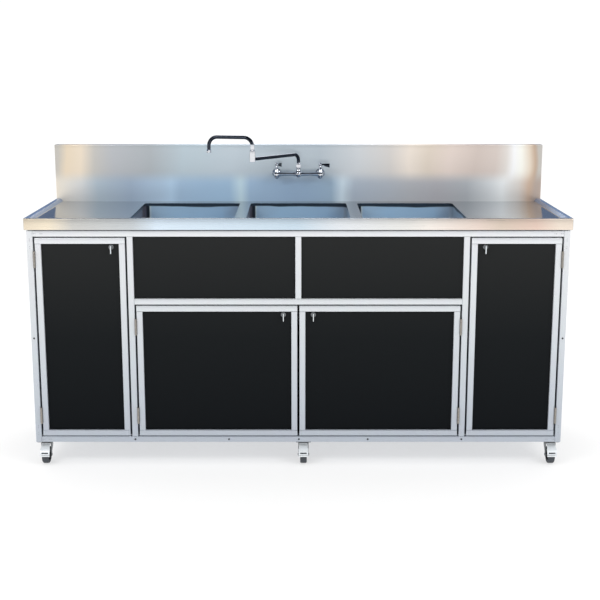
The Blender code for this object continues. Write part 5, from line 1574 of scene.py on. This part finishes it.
def sky(context):
    """White for the eye and for matt surfaces; for gloss to mirror, dark in front, slate behind."""
    world = bpy.data.worlds.new("studio")
    context.scene.world = world
    world.use_nodes = True
    tree = world.node_tree
    background = tree.nodes["Background"]
    place = node(tree, "ShaderNodeTexCoord")
    axes = node(tree, "ShaderNodeSeparateXYZ", None, {"Vector": place.outputs["Generated"]})
    front = node(tree, "ShaderNodeValToRGB", {"stops": [
        (0.0, "#30343a"), (0.10, "#15181d"), (0.20, "#5a6778"), (0.38, "#6b788a"), (0.50, "#1d222b"),
        (0.80, "#1f252f"), (1.0, "#2a3240")]}, {"Fac": axes.outputs["Z"]})
    back = node(tree, "ShaderNodeValToRGB", {"stops": [
        (0.0, "#5d6c88"), (0.17, "#64748f"), (0.26, "#8c9dbb"), (0.36, "#8798b2"), (0.65, "#a9b5c4"),
        (1.0, "#7d8999")]}, {"Fac": axes.outputs["Z"]})
    facing = node(tree, "ShaderNodeMapRange", None,
                  {"Value": axes.outputs["Y"], "From Min": -0.15, "From Max": 0.15})
    gloss = node(tree, "ShaderNodeMix", {"data_type": "RGBA"},
                 {"Factor": facing.outputs["Result"], 6: front.outputs["Color"], 7: back.outputs["Color"]})
    path = node(tree, "ShaderNodeLightPath")
    both = node(tree, "ShaderNodeMix", {"data_type": "RGBA"},
                {"Factor": path.outputs["Is Glossy Ray"], 6: (SKY, SKY, SKY, 1), 7: gloss.outputs[2]})
    tree.links.new(both.outputs[2], background.inputs["Color"])


class SINK_OT_stage(bpy.types.Operator):
    """Lays the pale floor, the soft lights and the camera."""
    bl_idname = "sink.build_stage"
    bl_label = "Studio"

    def execute(self, context):
        studio = context.scene.sink_studio
        context.scene.view_settings.view_transform = "Standard"
        sky(context)
        activate()
        bpy.ops.mesh.primitive_plane_add(size=studio.floor_size, location=(0, 0, 0))
        floor = context.object
        floor.name = "floor"
        floor.data.materials.append(finish("studio floor"))
        for name, place, width, power in LIGHTS:
            aim = (Vector((0, 0, 0.7)) - Vector(place)).to_track_quat("-Z", "Y").to_euler()
            bpy.ops.object.light_add(type="AREA", location=place, rotation=aim)
            light = context.object
            light.name = name
            light.data.shape = "RECTANGLE"
            light.data.size, light.data.size_y = width, width / 2
            light.data.energy = power
        bpy.ops.object.camera_add(location=(0.007, -studio.camera_distance, studio.camera_height),
                                  rotation=(studio.camera_pitch, 0, 0))
        context.scene.camera = context.object
        context.object.data.lens = LENS
        return {"FINISHED"}


class SINK_PT_panel(bpy.types.Panel):
    """Lists the sink's settings and builders."""
    bl_idname = "SINK_PT_panel"
    bl_label = "Three Compartment Sink"
    bl_space_type = "VIEW_3D"
    bl_region_type = "UI"
    bl_category = "Sink"

    def draw(self, context):
        for group in GROUPS:
            box = self.layout.box()
            for name in getattr(context.scene, group).bl_rna.properties.keys():
                if name not in ("rna_type", "name"):
                    box.prop(getattr(context.scene, group), name)
        for operator in BUILDERS:
            self.layout.operator(operator.bl_idname)


GROUPS = {
    "sink_top": SinkTopSettings,
    "sink_bowls": BowlSettings,
    "sink_cabinet": CabinetSettings,
    "sink_faucet": FaucetSettings,
    "sink_casters": CasterSettings,
    "sink_studio": StudioSettings,
    "sink_finish": FinishSettings,
}
BUILDERS = (SINK_OT_stage, SINK_OT_top, SINK_OT_bowls, SINK_OT_frame, SINK_OT_doors, SINK_OT_hinges,
            SINK_OT_locks, SINK_OT_fasteners, SINK_OT_faucet, SINK_OT_levers, SINK_OT_spouts,
            SINK_OT_casters, SINK_OT_drains, SINK_OT_water)


def register():
    for group, settings in GROUPS.items():
        bpy.utils.register_class(settings)
        setattr(bpy.types.Scene, group, bpy.props.PointerProperty(type=settings))
    for kind in (*BUILDERS, SINK_PT_panel):
        bpy.utils.register_class(kind)


def unregister():
    for kind in (SINK_PT_panel, *reversed(BUILDERS)):
        bpy.utils.unregister_class(kind)
    for group, settings in reversed(GROUPS.items()):
        delattr(bpy.types.Scene, group)
        bpy.utils.unregister_class(settings)


def main():
    register()
    for kind in BUILDERS:
        group, _, name = kind.bl_idname.partition(".")
        getattr(getattr(bpy.ops, group), name)()


if __name__ == "__main__":
    main()
